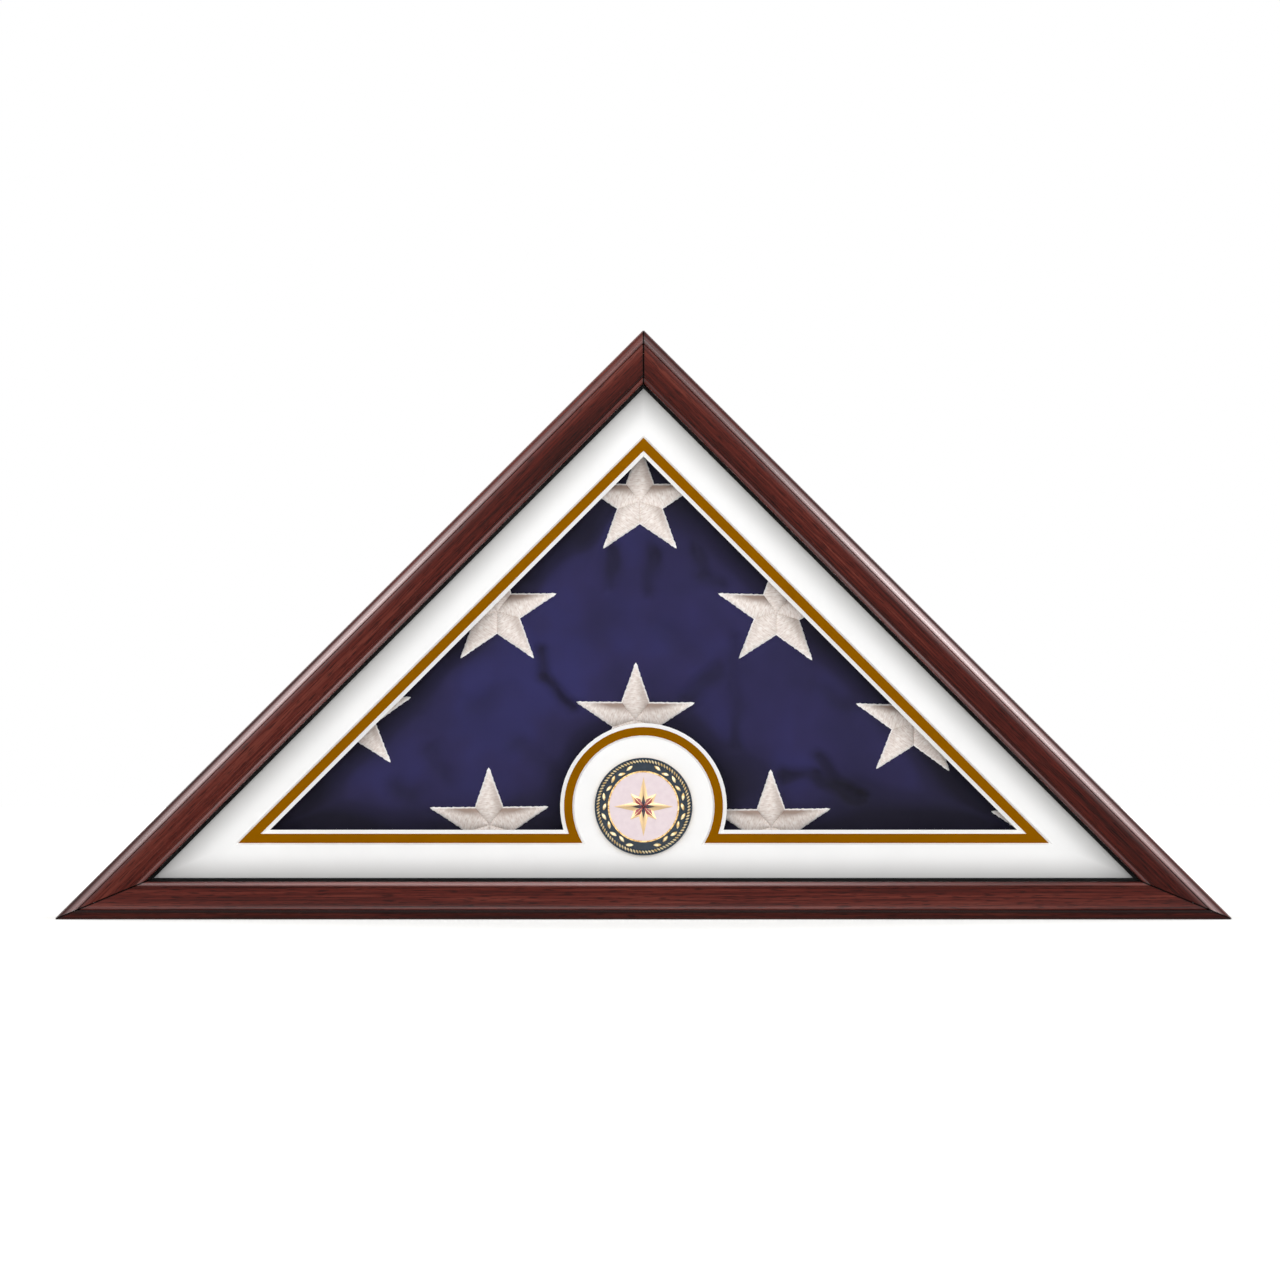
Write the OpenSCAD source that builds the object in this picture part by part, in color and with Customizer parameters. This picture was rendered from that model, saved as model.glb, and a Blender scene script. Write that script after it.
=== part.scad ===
// Folded flag display case: a triangular glazed box in mitred moulding, with a double mat,
// a round medallion, a folded flag and a lift-off back held by turn buttons.
// X runs along the base, Y from the glass to the back, Z up. The origin is under the case's middle.

/* [Case] */
// Width of the case across its base
case_w = 660; // [600:1:720]
// Height of the case from its base to its peak
case_h = 330; // [300:1:360]
// Depth of the case from the front moulding to the rim of the box
case_d = 90; // [80:1:120]

/* [Moulding] */
// Face width of the front moulding
rail_w = 21; // [20:0.5:26]
// Thickness of the lip in front of the glass
lip_t = 9; // [8:0.5:12]
// Width of the rabbet that holds the glazing
rabbet_w = 6; // [4:0.5:7]
// Radius of the rounded nose along the outer edge
nose_r = 4.3; // [3.5:0.1:4.8]
// Angle that the nose turns through, from the side to just past its front
nose_turn = 97; // [90:1:100]
// Width of the quirk between the nose and the broad face
quirk_w = 0.45; // [0.3:0.05:0.8]
// Drop from the nose to the edge of the broad face
face_drop = 0.5; // [0.2:0.1:1]
// Radius of the broad face's rounded outer edge
face_r = 0.9; // [0.5:0.1:1.3]
// Rise of the broad face above a flat slope
face_crown = 0.5; // [0:0.1:0.8]
// Width and depth of the groove beside the sight bead
groove_w = 0.8; // [0.5:0.1:1.1]
// Slant of the groove's wall
groove_slant = 0.25; // [0.1:0.05:0.4]
// Radius of the bead at the sight edge
sight_r = 1.4; // [1:0.1:1.9]
// Drop from the nose to the sight bead
sight_drop = 3.8; // [3:0.1:4.5]

/* [Box] */
// Reach of the box sides behind the mats
mat_seat = 3; // [2:0.5:4]
// Width of the rear rim that carries the turn buttons
rim_w = 11; // [10.5:0.5:12.5]
// Chamfer on the rim's outer edge
rim_chamfer = 1; // [0.5:0.1:1]
// Length of each leg of a mitre nail's V
nail_leg = 5; // [3:0.5:5]
// Distance of the outer mitre nails from the edge, and between the two of a corner
nail_in = 4.5; // [4:0.1:4.6]
// Thickness of a mitre nail
nail_t = 0.6; // [0.4:0.1:1]
// Length of a mitre nail
nail_l = 7; // [5:0.5:9]

/* [Glazing] */
// Thickness of the glass
glass_t = 2; // [1.5:0.1:3]
// Depth of the black spacer strips
spacer_t = 4.8; // [4.2:0.1:8]
// Width of spacer seen inside the sight edge
spacer_show = 2; // [1:0.1:4]
// Gap around the glass, spacers and mats in the rabbet
glazing_gap = 0.5; // [0.2:0.1:1]

/* [Mats] */
// Thickness of the white top mat
mat_t = 1.5; // [1:0.1:2]
// Distance from the case's edge to the top mat's window
mat_border = 42.5; // [38:0.5:50]
// Width of the top mat's bevel
mat_bevel = 1; // [0.5:0.1:1.5]
// Thickness of the gold facing of the under mat
facing_t = 0.3; // [0.2:0.1:0.5]
// Thickness of the under mat's core
core_t = 1.4; // [1:0.1:2]
// Width of gold seen along the sides
reveal = 5.2; // [3:0.1:8]
// Width of gold seen round the medallion
reveal_arc = 4.7; // [3:0.1:8]
// Width of the under mat's white bevel
core_bevel = 2.2; // [1:0.1:3]

/* [Medallion] */
// Radius of the medallion
med_r = 27.4; // [25:0.1:30]
// Height of the medallion's middle above the base
med_z = 63; // [58:0.5:70]
// White mat left round the medallion
med_margin = 12.5; // [10:0.5:15]
// Thickness of the sticky pad behind the medallion
pad_t = 0.5; // [0.3:0.1:0.8]
// Thickness of the medallion's disc
disc_t = 1.2; // [1:0.1:1.4]
// Distance from the medallion's edge to the middle of its rope border
rope_in = 1.9; // [1.5:0.1:2.5]
// Width of the rope border
rope_w = 1.6; // [1.2:0.1:1.8]
// Strands in the rope border
rope_strands = 92; // [60:1:100]
// Height of the rope over the enamel
rope_h = 0.7; // [0.4:0.05:0.8]
// Width of the dark enamel ring, out to the edge
ring_w = 7.4; // [7:0.1:8]
// Width of the thin gold band inside the dark ring
band_w = 0.8; // [0.6:0.1:1]
// Height of the gold band over the enamel
band_h = 0.3; // [0.1:0.05:0.5]
// Thickness of the enamel
enamel_t = 0.4; // [0.3:0.05:0.5]
// Height of the compass rose over the enamel
relief_h = 0.9; // [0.6:0.1:1]
// Field left beyond the compass rose's long points
rose_gap = 2.7; // [1.5:0.1:4]
// How far the rose's short points stop inside the long ones
rose_step = 6.3; // [5:0.1:8]
// Radius of the notches between the rose's points
rose_notch = 4; // [3:0.1:5]
// Radius of the hub in the rose's middle
rose_hub = 1.7; // [1:0.1:2.5]
// Height of the rose's edges over the enamel
rose_edge = 0.15; // [0.1:0.05:0.3]
// Distance of the sticky pad's edge inside the medallion's
pad_in = 4; // [2:0.5:6]
// Leaves on each laurel branch
leaf_count = 11; // [8:1:12]
// Length of a laurel leaf
leaf_l = 4.2; // [3.5:0.1:4.5]
// Width of a laurel leaf
leaf_w = 1.8; // [1.4:0.1:2]
// Angle of a leaf to its branch
leaf_lean = 18; // [10:1:25]
// Angle left free between a branch's ends and the bud or the small star
leaf_free = 20; // [16:1:26]
// Radius of the small star's points
small_star_r = 1.9; // [1.4:0.1:2.1]
// Radius of the small star's notches
small_star_notch = 0.75; // [0.5:0.05:0.9]
// Radius of the bud where the branches meet
bud_r = 1.2; // [0.8:0.1:1.6]
// Slant of the rope's strands
strand_slant = 40; // [20:5:60]
// Length and width of a strand
strand = [1.9, 0.8]; // [0.5:0.1:2.5]

/* [Flag] */
// Gap between the flag and the case's inner sides
flag_side_gap = 0.3; // [0.3:0.1:3]
// Gap between the under mat and the flag
flag_front_gap = 2; // [1.6:0.1:4]
// Free depth behind the flag
flag_back_gap = 9; // [6:0.5:14]
// Radius of the bundle's corners
flag_corner_r = 4; // [2:0.5:8]
// Roll of the bundle's front and back edges
flag_roll = 7; // [3:0.5:12]
// Radius of a star's points
star_r = 35.3; // [30:0.1:38]
// Radius of a star's notches
star_notch = 13.5; // [11.5:0.1:14.5]
// Height of a star as a share of its width, as the cloth is eased in folding
star_lie = 0.925; // [0.85:0.005:1]
// Height of a star's middle over the flag
star_h = 1.2; // [0.8:0.1:1.4]
// Thickness of a star's edge
star_edge = 0.5; // [0.3:0.1:0.7]
// Distance between rows of stars
star_row = 61.3; // [55:0.1:70]
// Distance between a row's stars, halved
star_half_pitch = 78.7; // [70:0.1:90]
// Distance from the case's peak to the middle of the top star
star_top = 96; // [80:0.5:110]
// Sideways place of the top star
star_x = -2; // [-6:0.5:6]
// Sideways lean of each row against the one above
star_lean = -1.8; // [-4:0.1:4]

/* [Back] */
// Thickness of the back panel
panel_t = 5; // [3:0.5:6]
// Thickness of the lining on the panel
lining_t = 1; // [0.5:0.1:2]
// Gap round the back panel in its rebate
panel_gap = 0.5; // [0.3:0.1:1]
// Play of the panel in the rebate's depth, at each face
panel_play = 0.1; // [0.05:0.05:0.2]
// Blunt cut at the panel's sharp corners
panel_blunt = 6; // [4:0.5:12]

/* [Turn buttons] */
// Distance of the base's turn buttons from its middle
base_button = 150; // [120:1:180]
// Distance of a slope's turn buttons from its middle
slope_button = 105; // [90:1:115]
// Width of a turn button
button_w = 9; // [8:0.1:9.5]
// Length of a turn button from its pivot to its tip
button_arm = 22; // [18:0.5:26]
// Radius of a turn button's round tip
button_tip = 3.2; // [2.5:0.1:4]
// Length of a turn button behind its pivot
button_tail = 5; // [4.5:0.1:6]
// Thickness of a turn button
button_t = 1.2; // [1:0.1:1.3]
// Radius of the screws' shanks
screw_r = 1.5; // [1.2:0.1:1.8]
// Radius of the screws' pan heads
head_r = 3.4; // [2.8:0.1:3.8]
// Height of the screws' pan heads
head_h = 1.6; // [1.2:0.1:1.7]
// Rounding of the pan heads' edge
head_soft = 1.1; // [0.6:0.1:1.1]
// Length of each arm of a pan head's cross recess
recess_l = 2; // [1.4:0.1:2.2]
// Width of the cross recesses
recess_w = 0.7; // [0.5:0.1:1]
// Depth of the cross recesses
recess_d = 0.9; // [0.6:0.1:1]
// Depth of the screws in the wood
screw_l = 14; // [10:0.5:20]
// Running gap round a screw's shank
pivot_gap = 0.05; // [0.02:0.01:0.1]
// Running gap at each face of a turn button
slip_gap = 0.05; // [0.02:0.01:0.1]

/* [Hanging] */
// Thickness of the hanging block
block_t = 13; // [12:0.5:14]
// Wood left above and beside the keyhole plate
hanger_edge = 5.3; // [4:0.1:7]
// Wood left below the keyhole plate
block_foot = 6; // [4:0.5:14]
// Width of the keyhole plate
hanger_w = 14; // [13.5:0.5:16]
// Length of the keyhole plate
hanger_l = 32; // [31:0.5:34]
// Thickness of the keyhole plate
hanger_t = 1.5; // [1.2:0.1:2]
// Distance of the plate's screws from the middle of its round ends
hanger_screw_out = 3.5; // [3:0.1:4]
// Length of the keyhole plate's screws
hanger_screw_l = 9; // [7:0.5:11]
// Radius of the shanks of the keyhole plate's screws
hanger_screw_r = 1.3; // [1:0.1:1.5]
// Radius of their countersunk heads
hanger_head_r = 2.6; // [2.2:0.1:2.8]
// Length of each arm of their cross recesses
hanger_recess_l = 1.8; // [1.2:0.1:2]
// Radius of the keyhole's round hole
key_r = 4.5; // [4:0.1:4.8]
// Width of the keyhole's slot
key_slot = 4; // [3.5:0.1:4.4]
// Rise of the keyhole's middle above the plate's
key_rise = 1; // [0.5:0.1:1.5]
// Length of the keyhole from the round hole's middle to the slot's end
key_l = 9; // [7:0.5:9.5]
// Depth of the pocket behind the plate
pocket_d = 8; // [6:0.5:9]
// Room round the keyhole in the pocket
pocket_room = 1; // [0.6:0.1:1.1]
// Radius of the wall bumpers
bumper_r = 5; // [4:0.1:5.2]
// Thickness of the wall bumpers
bumper_t = 3.2; // [3.1:0.1:5]
// Rounding of the wall bumpers' edge
bumper_soft = 1.5; // [0.5:0.1:2]
// Distance of the lower bumpers from the middle
bumper_x = 280; // [250:1:285]

/* [Hidden] */

SIDES = ["bottom", "left", "right"];

// Angles, lengths and the point where the mitre planes meet
base_angle = atan2(case_h, case_w / 2);
slope_l = sqrt(pow(case_w / 2, 2) + pow(case_h, 2));
mitre_z = case_w * case_h / (case_w + 2 * slope_l);

// Depths, counted from the front of the moulding
front_y = -(case_d + bumper_t) / 2;
glass_v = lip_t;
spacer_v = glass_v + glass_t;
mat_v = spacer_v + spacer_t;
facing_v = mat_v + mat_t;
core_v = facing_v + facing_t;
rail_t = core_v + core_t;
rebate_v = case_d - panel_t - 2 * panel_play;
lining_v = rebate_v + panel_play - lining_t;
flag_v = rail_t + flag_front_gap;
flag_back_v = lining_v - flag_back_gap;
block_v = case_d - block_t;

// Distances inward from the case's outer edge
side_w = rail_w - rabbet_w + mat_seat;
glazing_in = rail_w - rabbet_w + glazing_gap;
spacer_in = rail_w + spacer_show;
facing_in = mat_border + reveal;
core_in = facing_in + core_bevel;
flag_in = side_w + flag_side_gap;
panel_in = rim_w + panel_gap;
lining_in = side_w + panel_gap;
pivot_in = rim_w / 2;

// Places of the keyhole plate and the block, down from the peak
hanger_z = peak_z(rim_w + hanger_w / 2 + hanger_edge) - (hanger_l - hanger_w) / 2;
hanger_screw_z = (hanger_l - hanger_w) / 2 + hanger_screw_out;
block_z = hanger_z - hanger_l / 2 - block_foot;
key_low = (key_l - key_rise) / 2;

// Radii of the mats' tongue round the medallion
tongue_r = med_r + med_margin;
facing_r = tongue_r + reveal_arc;
core_r = facing_r + core_bevel;

// Medallion levels, counted forward from the mat
disc_h = pad_t + disc_t;
enamel_h = disc_h + enamel_t;
rope_mid_r = med_r - rope_in;
ring_in = med_r - ring_w;
field_r = ring_in - band_w;
rose_r = field_r - rose_gap;
laurel_r = (ring_in + rope_mid_r - rope_w / 2) / 2;

// Points of the moulding profile, as [depth, inset]
nose_end = nose_r * [1 - sin(nose_turn), 1 - cos(nose_turn)];
quirk_foot = [face_drop + face_r, nose_end[1]];
face_start = [face_drop, quirk_foot[1] + quirk_w + face_r];
sight_foot = [sight_drop + sight_r, rail_w - 2 * sight_r];
face_end = sight_foot - [groove_w, groove_w];
arc_steps = 10;

// Points of the compass rose, and star rows that are laid out before the flag's outline trims them
rose_points = 8;
star_rows = 5;

$fn = 48;

// Corners of the case's outline moved inward by w, as [x, z]: left, right, peak
function half_w(w) = case_w / 2 - w / tan(base_angle / 2);
function peak_z(w) = case_h - w / cos(base_angle);
function outline(w) = [[-half_w(w), w], [half_w(w), w], [0, peak_z(w)]];

// Points on a circle about c, from angle a to angle b
function arc(c, r, a, b, steps = arc_steps) =
    [for (i = [0:steps]) c + r * [cos(a + (b - a) * i / steps), sin(a + (b - a) * i / steps)]];

// The outline moved inward by w, with its corners rounded
function soft_outline(w, r) = concat(
    arc(outline(w + r)[0], r, 90 + base_angle, 270),
    arc(outline(w + r)[1], r, 270, 450 - base_angle),
    arc(outline(w + r)[2], r, 90 - base_angle, 90 + base_angle));

// A bead of a profile, as [depth, inset]: a = 0 is its outer side and 90 its front
function bead(depth, inset, r, a, b) =
    [for (i = [0:arc_steps]) let (t = a + (b - a) * i / arc_steps) [depth - r * sin(t), inset - r * cos(t)]];

// The broad face between two beads: a straight slope with a shallow crown
function broad_face(from, to) =
    [for (i = [1:arc_steps]) let (t = i / arc_steps) from + (to - from) * t - [4 * face_crown * t * (1 - t), 0]];

moulding_profile = concat(
    [[rail_t, 0]],
    bead(nose_r, nose_r, nose_r, 0, 90),
    [nose_end, quirk_foot],
    bead(face_start[0] + face_r, face_start[1], face_r, 0, 90),
    broad_face(face_start, face_end),
    [[sight_foot[0], face_end[1] + groove_slant]],
    bead(sight_foot[0], rail_w - sight_r, sight_r, 0, 180),
    [[glass_v, rail_w], [glass_v, rail_w - rabbet_w], [rail_t, rail_w - rabbet_w]]);

side_profile = [[rail_t, 0], [case_d - rim_chamfer, 0], [case_d, rim_chamfer], [case_d, rim_w],
    [rebate_v, rim_w], [rebate_v, side_w], [rail_t, side_w]];

function strip_profile(v, t, from, to, bevel = 0) =
    [[v, from], [v, to - bevel], [v + t, to], [v + t, from]];

// A flat piece: a shape in X and Z, from depth v to depth v + t
module slab(v, t) {
    translate([0, front_y + v + t, 0])
        rotate([90, 0, 0])
            linear_extrude(t) children();
}

// Local axes of one side of the triangle: x along it, y in depth, z inward
module on_side(side) {
    if (side == "bottom")
        translate([0, front_y, 0]) children();
    if (side == "left")
        translate([-case_w / 4, front_y, case_h / 2]) rotate([0, 180 - base_angle, 0]) children();
    if (side == "right")
        mirror([1, 0, 0]) on_side("left") children();
}

// A bar with a profile along one side, from corner to corner
module bar(side, profile) {
    on_side(side)
        rotate([90, 0, 90])
            linear_extrude(side == "bottom" ? case_w : slope_l, center = true)
                polygon(profile);
}

// A bar cut to the mitres
module mitred_bar(side, profile) {
    corners = outline(0);
    ends = side == "bottom" ? [corners[0], corners[1]]
        : side == "left" ? [corners[0], corners[2]] : [corners[1], corners[2]];
    intersection() {
        bar(side, profile);
        slab(0, case_d) polygon([ends[0], ends[1], [0, mitre_z]]);
    }
}

// A board round a bevelled window, with a round bevelled tongue at the medallion
module mat_board(v, t, window, bevel, tongue) {
    intersection() {
        union() {
            for (side = SIDES)
                bar(side, strip_profile(v, t, 0, window, bevel));
            translate([0, front_y + v, med_z])
                rotate([-90, 0, 0])
                    cylinder(h = t, r1 = tongue - bevel, r2 = tongue, $fn = 96);
        }
        slab(v, t) polygon(outline(glazing_in));
    }
}

// ---- Moulding ----

// Two nails across each mitre, at two distances from the edge
module nail_plan() {
    for (inset = [nail_in, 2 * nail_in]) {
        translate(outline(inset)[0]) rotate(base_angle / 2) nail_section();
        translate(outline(inset)[1]) rotate(180 - base_angle / 2) nail_section();
        translate(outline(inset)[2]) rotate(-90) nail_section();
    }
}

// A V of two legs at right angles, its blunt nose toward the corner
module nail_section() {
    leg = nail_leg / sqrt(2);
    skin = nail_t / sqrt(2);
    nose = nail_t;
    half = [[0, nose], [leg, leg + nose], [leg + skin, leg + nose - skin], [nail_t, nose - skin / 2]];
    polygon(concat(half, [for (i = [3:-1:0]) [half[i][0], -half[i][1]]]));
}

module mitre_nails() {
    color("silver")
        slab(rail_t - nail_l, nail_l) nail_plan();
}

module moulding(side) {
    color("#5b2b29")
        difference() {
            mitred_bar(side, moulding_profile);
            slab(rail_t - nail_l, nail_l + 1) nail_plan();
        }
}

// ---- Box ----

module box_side(side) {
    color("#4c2522")
        difference() {
            mitred_bar(side, side_profile);
            for (b = BUTTONS)
                if (b[0] == side) at_button(b) shank(screw_r, screw_l + button_t + 2 * slip_gap);
        }
}

// ---- Glazing ----

module glass_pane() {
    color("lightcyan", 0.3)
        slab(glass_v, glass_t) polygon(outline(glazing_in));
}

module spacer(side) {
    color("#141210")
        mitred_bar(side, strip_profile(spacer_v, spacer_t, glazing_in, spacer_in));
}

// ---- Mats ----

module top_mat() {
    color("#fbfbfa")
        mat_board(mat_v, mat_t, mat_border, mat_bevel, tongue_r);
}

module under_mat_facing() {
    color("#925d00")
        slab(facing_v, facing_t)
            difference() {
                polygon(outline(glazing_in));
                difference() {
                    polygon(outline(facing_in));
                    translate([0, med_z]) circle(facing_r, $fn = 96);
                }
            }
}

module under_mat_core() {
    color("#f6f3ee")
        mat_board(core_v, core_t, core_in, core_bevel, core_r);
}

// ---- Medallion ----

// Forward from the mat at the medallion's middle, by height h
module on_medallion(h = 0) {
    translate([0, front_y + mat_v - h, med_z])
        rotate([90, 0, 0]) children();
}

module ring(r_out, r_in, h) {
    difference() {
        cylinder(h = h, r = r_out, $fn = 96);
        translate([0, 0, -1]) cylinder(h = h + 2, r = r_in, $fn = 96);
    }
}

module medallion_disc() {
    color("#b08a4a")
        on_medallion(pad_t) {
            cylinder(h = disc_t, r = med_r, $fn = 96);
            translate([0, 0, disc_t / 2]) ring(ring_in, field_r, disc_t / 2 + enamel_t + band_h);
        }
}

// A rope laid round the border: slanted strands, each a raised lens
module medallion_rope() {
    color("#c9a86a")
        on_medallion(enamel_h)
            for (i = [0:rope_strands - 1])
                rotate(i * 360 / rope_strands)
                    translate([rope_mid_r, 0, 0])
                        rotate(strand_slant) linear_extrude(rope_h) leaf_2d(strand[0], strand[1]);
}

module medallion_dark_ring() {
    color("#2b3a48")
        on_medallion(disc_h) ring(med_r, ring_in, enamel_t);
}

module medallion_field() {
    color("#d8c4c0")
        on_medallion(disc_h) cylinder(h = enamel_t, r = field_r, $fn = 96);
}

// A compass rose: eight points, each with a ridge from the middle to its tip
module medallion_rose() {
    function tip_r(i) = i % 2 == 1 ? rose_notch : i % 4 == 0 ? rose_r : rose_r - rose_step;
    rim = [for (i = [0:2 * rose_points - 1]) let (a = i * 180 / rose_points + 90) tip_r(i) * [cos(a), sin(a)]];
    color("#c9a14a")
        on_medallion(enamel_h) {
            ridge_star(rim, rose_edge, relief_h);
            cylinder(h = relief_h + rose_edge, r = rose_hub);
        }
}

// A star-shaped plate whose face rises from its edge to its middle
module ridge_star(rim, edge, middle) {
    n = len(rim);
    points = concat([for (p = rim) [p[0], p[1], 0]], [for (p = rim) [p[0], p[1], edge]],
        [[0, 0, 0], [0, 0, middle]]);
    faces = [for (i = [0:n - 1]) let (k = (i + 1) % n) each [
        [2 * n, i, k], [2 * n + 1, n + k, n + i], [i, n + i, n + k], [i, n + k, k]]];
    polyhedron(points, faces);
}

// A leaf: the lens that two equal circles share, pointed at both ends
module leaf_2d(l, w) {
    r = (l * l + w * w) / (4 * w);
    intersection() {
        translate([0, r - w / 2]) circle(r, $fn = 64);
        translate([0, w / 2 - r]) circle(r, $fn = 64);
    }
}

// Two laurel branches from a bud below to a small star above
module medallion_laurel() {
    thick = relief_h / 2;
    step = (180 - 2 * leaf_free) / (leaf_count - 1);
    function tip_r(i) = i % 2 == 0 ? small_star_r : small_star_notch;
    small_star = [for (i = [0:9]) let (a = i * 36 + 90) tip_r(i) * [cos(a), sin(a)]];
    color("#c9a14a")
        on_medallion(enamel_h) {
            for (m = [0, 1], i = [0:leaf_count - 1])
                mirror([m, 0, 0])
                    rotate(-90 + leaf_free + i * step)
                        translate([laurel_r, 0, 0])
                            rotate(i % 2 == 0 ? 90 - leaf_lean : 90 + leaf_lean)
                                linear_extrude(thick) leaf_2d(leaf_l, leaf_w);
            translate([0, laurel_r, 0]) ridge_star(small_star, thick / 2, thick * 1.4);
            translate([0, -laurel_r, 0]) cylinder(h = thick, r = bud_r);
        }
}

module medallion_pad() {
    color("#e8e4da")
        on_medallion() cylinder(h = pad_t, r = med_r - pad_in);
}

// ---- Flag ----

module folded_flag() {
    color("#36325a")
        hull() {
            slab(flag_v, 0.5) polygon(soft_outline(flag_in + flag_roll, flag_corner_r));
            slab(flag_v + flag_roll, flag_back_v - flag_v - 2 * flag_roll)
                polygon(soft_outline(flag_in, flag_corner_r));
            slab(flag_back_v - 0.5, 0.5) polygon(soft_outline(flag_in + flag_roll, flag_corner_r));
        }
}

// An embroidered star: five kites, each padded to a height in its middle, with seams between them
module sewn_star() {
    function ray(r, i, h) = [r * cos(i * 36 + 90), r * sin(i * 36 + 90) * star_lie, h];
    function rim_r(i) = i % 2 == 0 ? star_r : star_notch;
    foot = [for (i = [0:9]) ray(rim_r(i), i, 0)];
    edge = [for (i = [0:9]) ray(rim_r(i), i, star_edge)];
    hill = [for (k = [0:4]) ray(star_notch + star_h, 2 * k, star_h)];
    under = 25;
    middle = 26;
    faces = concat(
        [for (i = [0:9]) let (k = (i + 1) % 10) each [[under, i, k], [i, 10 + i, 10 + k], [i, 10 + k, k]]],
        [for (k = [0:4]) let (tip = 10 + 2 * k, left = 10 + (2 * k + 1) % 10, right = 10 + (2 * k + 9) % 10)
            each [[20 + k, left, tip], [20 + k, tip, right], [20 + k, right, middle], [20 + k, middle, left]]]);
    polyhedron(concat(foot, edge, hill, [[0, 0, 0], [0, 0, (star_edge + star_h) / 2]]), faces);
}

// Stars in staggered rows: each row lies half a pitch aside of the one above
module flag_stars() {
    color("#e9e2de")
        intersection() {
            for (row = [0:star_rows - 1], k = [0:row])
                translate([star_x + row * star_lean + (2 * k - row) * star_half_pitch, front_y + flag_v,
                    case_h - star_top - row * star_row])
                    rotate([90, 0, 0]) sewn_star();
            slab(flag_v - 2 * star_h, 2 * star_h) polygon(outline(flag_in + flag_roll + flag_corner_r / 4));
        }
}

// ---- Hanging ----

// Backward from depth v at height z and place x
module rearward(v, x, z) {
    translate([x, front_y + v, z])
        rotate([-90, 0, 0]) children();
}

module hanger_outline() {
    end = (hanger_l - hanger_w) / 2;
    square([hanger_w, 2 * end], center = true);
    for (s = [-1, 1])
        translate([0, s * end]) circle(hanger_w / 2);
}

module keyhole() {
    translate([0, -key_low]) circle(key_r);
    translate([-key_slot / 2, -key_low]) square([key_slot, key_l - key_slot / 2]);
    translate([0, key_l - key_low - key_slot / 2]) circle(key_slot / 2);
}

module hanging_block() {
    corner = outline(rim_w)[2];
    inner = outline(side_w)[2];
    pocket_w = 2 * (key_r + pocket_room);
    color("#6d3a33")
        difference() {
            union() {
                slab(rebate_v, case_d - rebate_v)
                    intersection() {
                        polygon(outline(rim_w));
                        translate([-case_w / 2, block_z]) square([case_w, corner[1]]);
                    }
                slab(block_v, rebate_v - block_v)
                    intersection() {
                        polygon(outline(side_w));
                        translate([-case_w / 2, block_z]) square([case_w, inner[1]]);
                    }
            }
            slab(case_d - hanger_t, hanger_t + 1) translate([0, hanger_z]) hanger_outline();
            slab(case_d - hanger_t - pocket_d, pocket_d + 1)
                translate([-pocket_w / 2, hanger_z - key_low - key_r - pocket_room])
                    square([pocket_w, key_l + key_r + 2 * pocket_room]);
            hanger_screws_at() shank(hanger_screw_r, hanger_screw_l);
        }
}

module hanger_screws_at() {
    for (s = [-1, 1])
        rearward(case_d, 0, hanger_z + s * hanger_screw_z) children();
}

module countersunk_head() {
    translate([0, 0, -hanger_t])
        cylinder(h = hanger_t, r1 = hanger_screw_r, r2 = hanger_head_r);
}

module keyhole_plate() {
    color("#b9b4a6")
        difference() {
            slab(case_d - hanger_t, hanger_t)
                translate([0, hanger_z])
                    difference() {
                        hanger_outline();
                        keyhole();
                    }
            hanger_screws_at() countersunk_head();
        }
}

module keyhole_screws() {
    color("silver")
        hanger_screws_at() {
            difference() {
                countersunk_head();
                cross_slot(hanger_recess_l, 0);
            }
            shank(hanger_screw_r, hanger_screw_l);
        }
}

// Lower bumpers on the base's rim and one above the keyhole plate
module wall_bumpers() {
    color("#1c1c1c")
        for (at = [[-bumper_x, pivot_in], [bumper_x, pivot_in], [0, outline(rim_w)[2][1]]])
            rearward(case_d, at[0], at[1])
                rotate_extrude()
                    polygon(concat([[0, 0], [bumper_r, 0]],
                        arc([bumper_r - bumper_soft, bumper_t - bumper_soft], bumper_soft, 0, 90), [[0, bumper_t]]));
}

// ---- Turn buttons and their screws ----

// Each button: side, place along the side, and 1 or -1 for the way its arm lies when open
BUTTONS = [["bottom", -base_button, -1], ["bottom", base_button, 1],
    ["left", slope_button, 1], ["left", -slope_button, 1],
    ["right", slope_button, 1], ["right", -slope_button, 1]];

// Origin on the button's front face at its pivot, z toward the back
module at_button(b) {
    on_side(b[0])
        translate([b[1], case_d + slip_gap, pivot_in])
            rotate([-90, 0, 0]) children();
}

module turn_button(b) {
    neck = button_w / 2;
    tip_x = button_arm - button_tip;
    color("#c2a15c")
        at_button(b)
            mirror([b[2] < 0 ? 1 : 0, 0, 0])
                difference() {
                    union() {
                        intersection() {
                            cylinder(h = button_t, r = button_tail);
                            translate([-button_tail, -neck, 0]) cube([2 * button_tail, button_w, button_t]);
                        }
                        linear_extrude(button_t)
                            polygon([[0, -neck], [0, neck], [tip_x, button_tip], [tip_x, -button_tip]]);
                        translate([tip_x, 0, 0]) cylinder(h = button_t, r = button_tip);
                    }
                    translate([0, 0, -1]) cylinder(h = button_t + 2, r = screw_r + pivot_gap);
                }
}

// A screw's shank from z = 0 down into the wood, with a pointed end
module shank(r, l) {
    rotate_extrude()
        polygon([[0, 0], [r, 0], [r, 2 * r - l], [0, -l]]);
}

// A cross recess with arms of length l, cut down from height h
module cross_slot(l, h) {
    for (a = [0, 90])
        rotate(a) translate([-l, -recess_w / 2, h - recess_d]) cube([2 * l, recess_w, recess_d + 1]);
}

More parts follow.
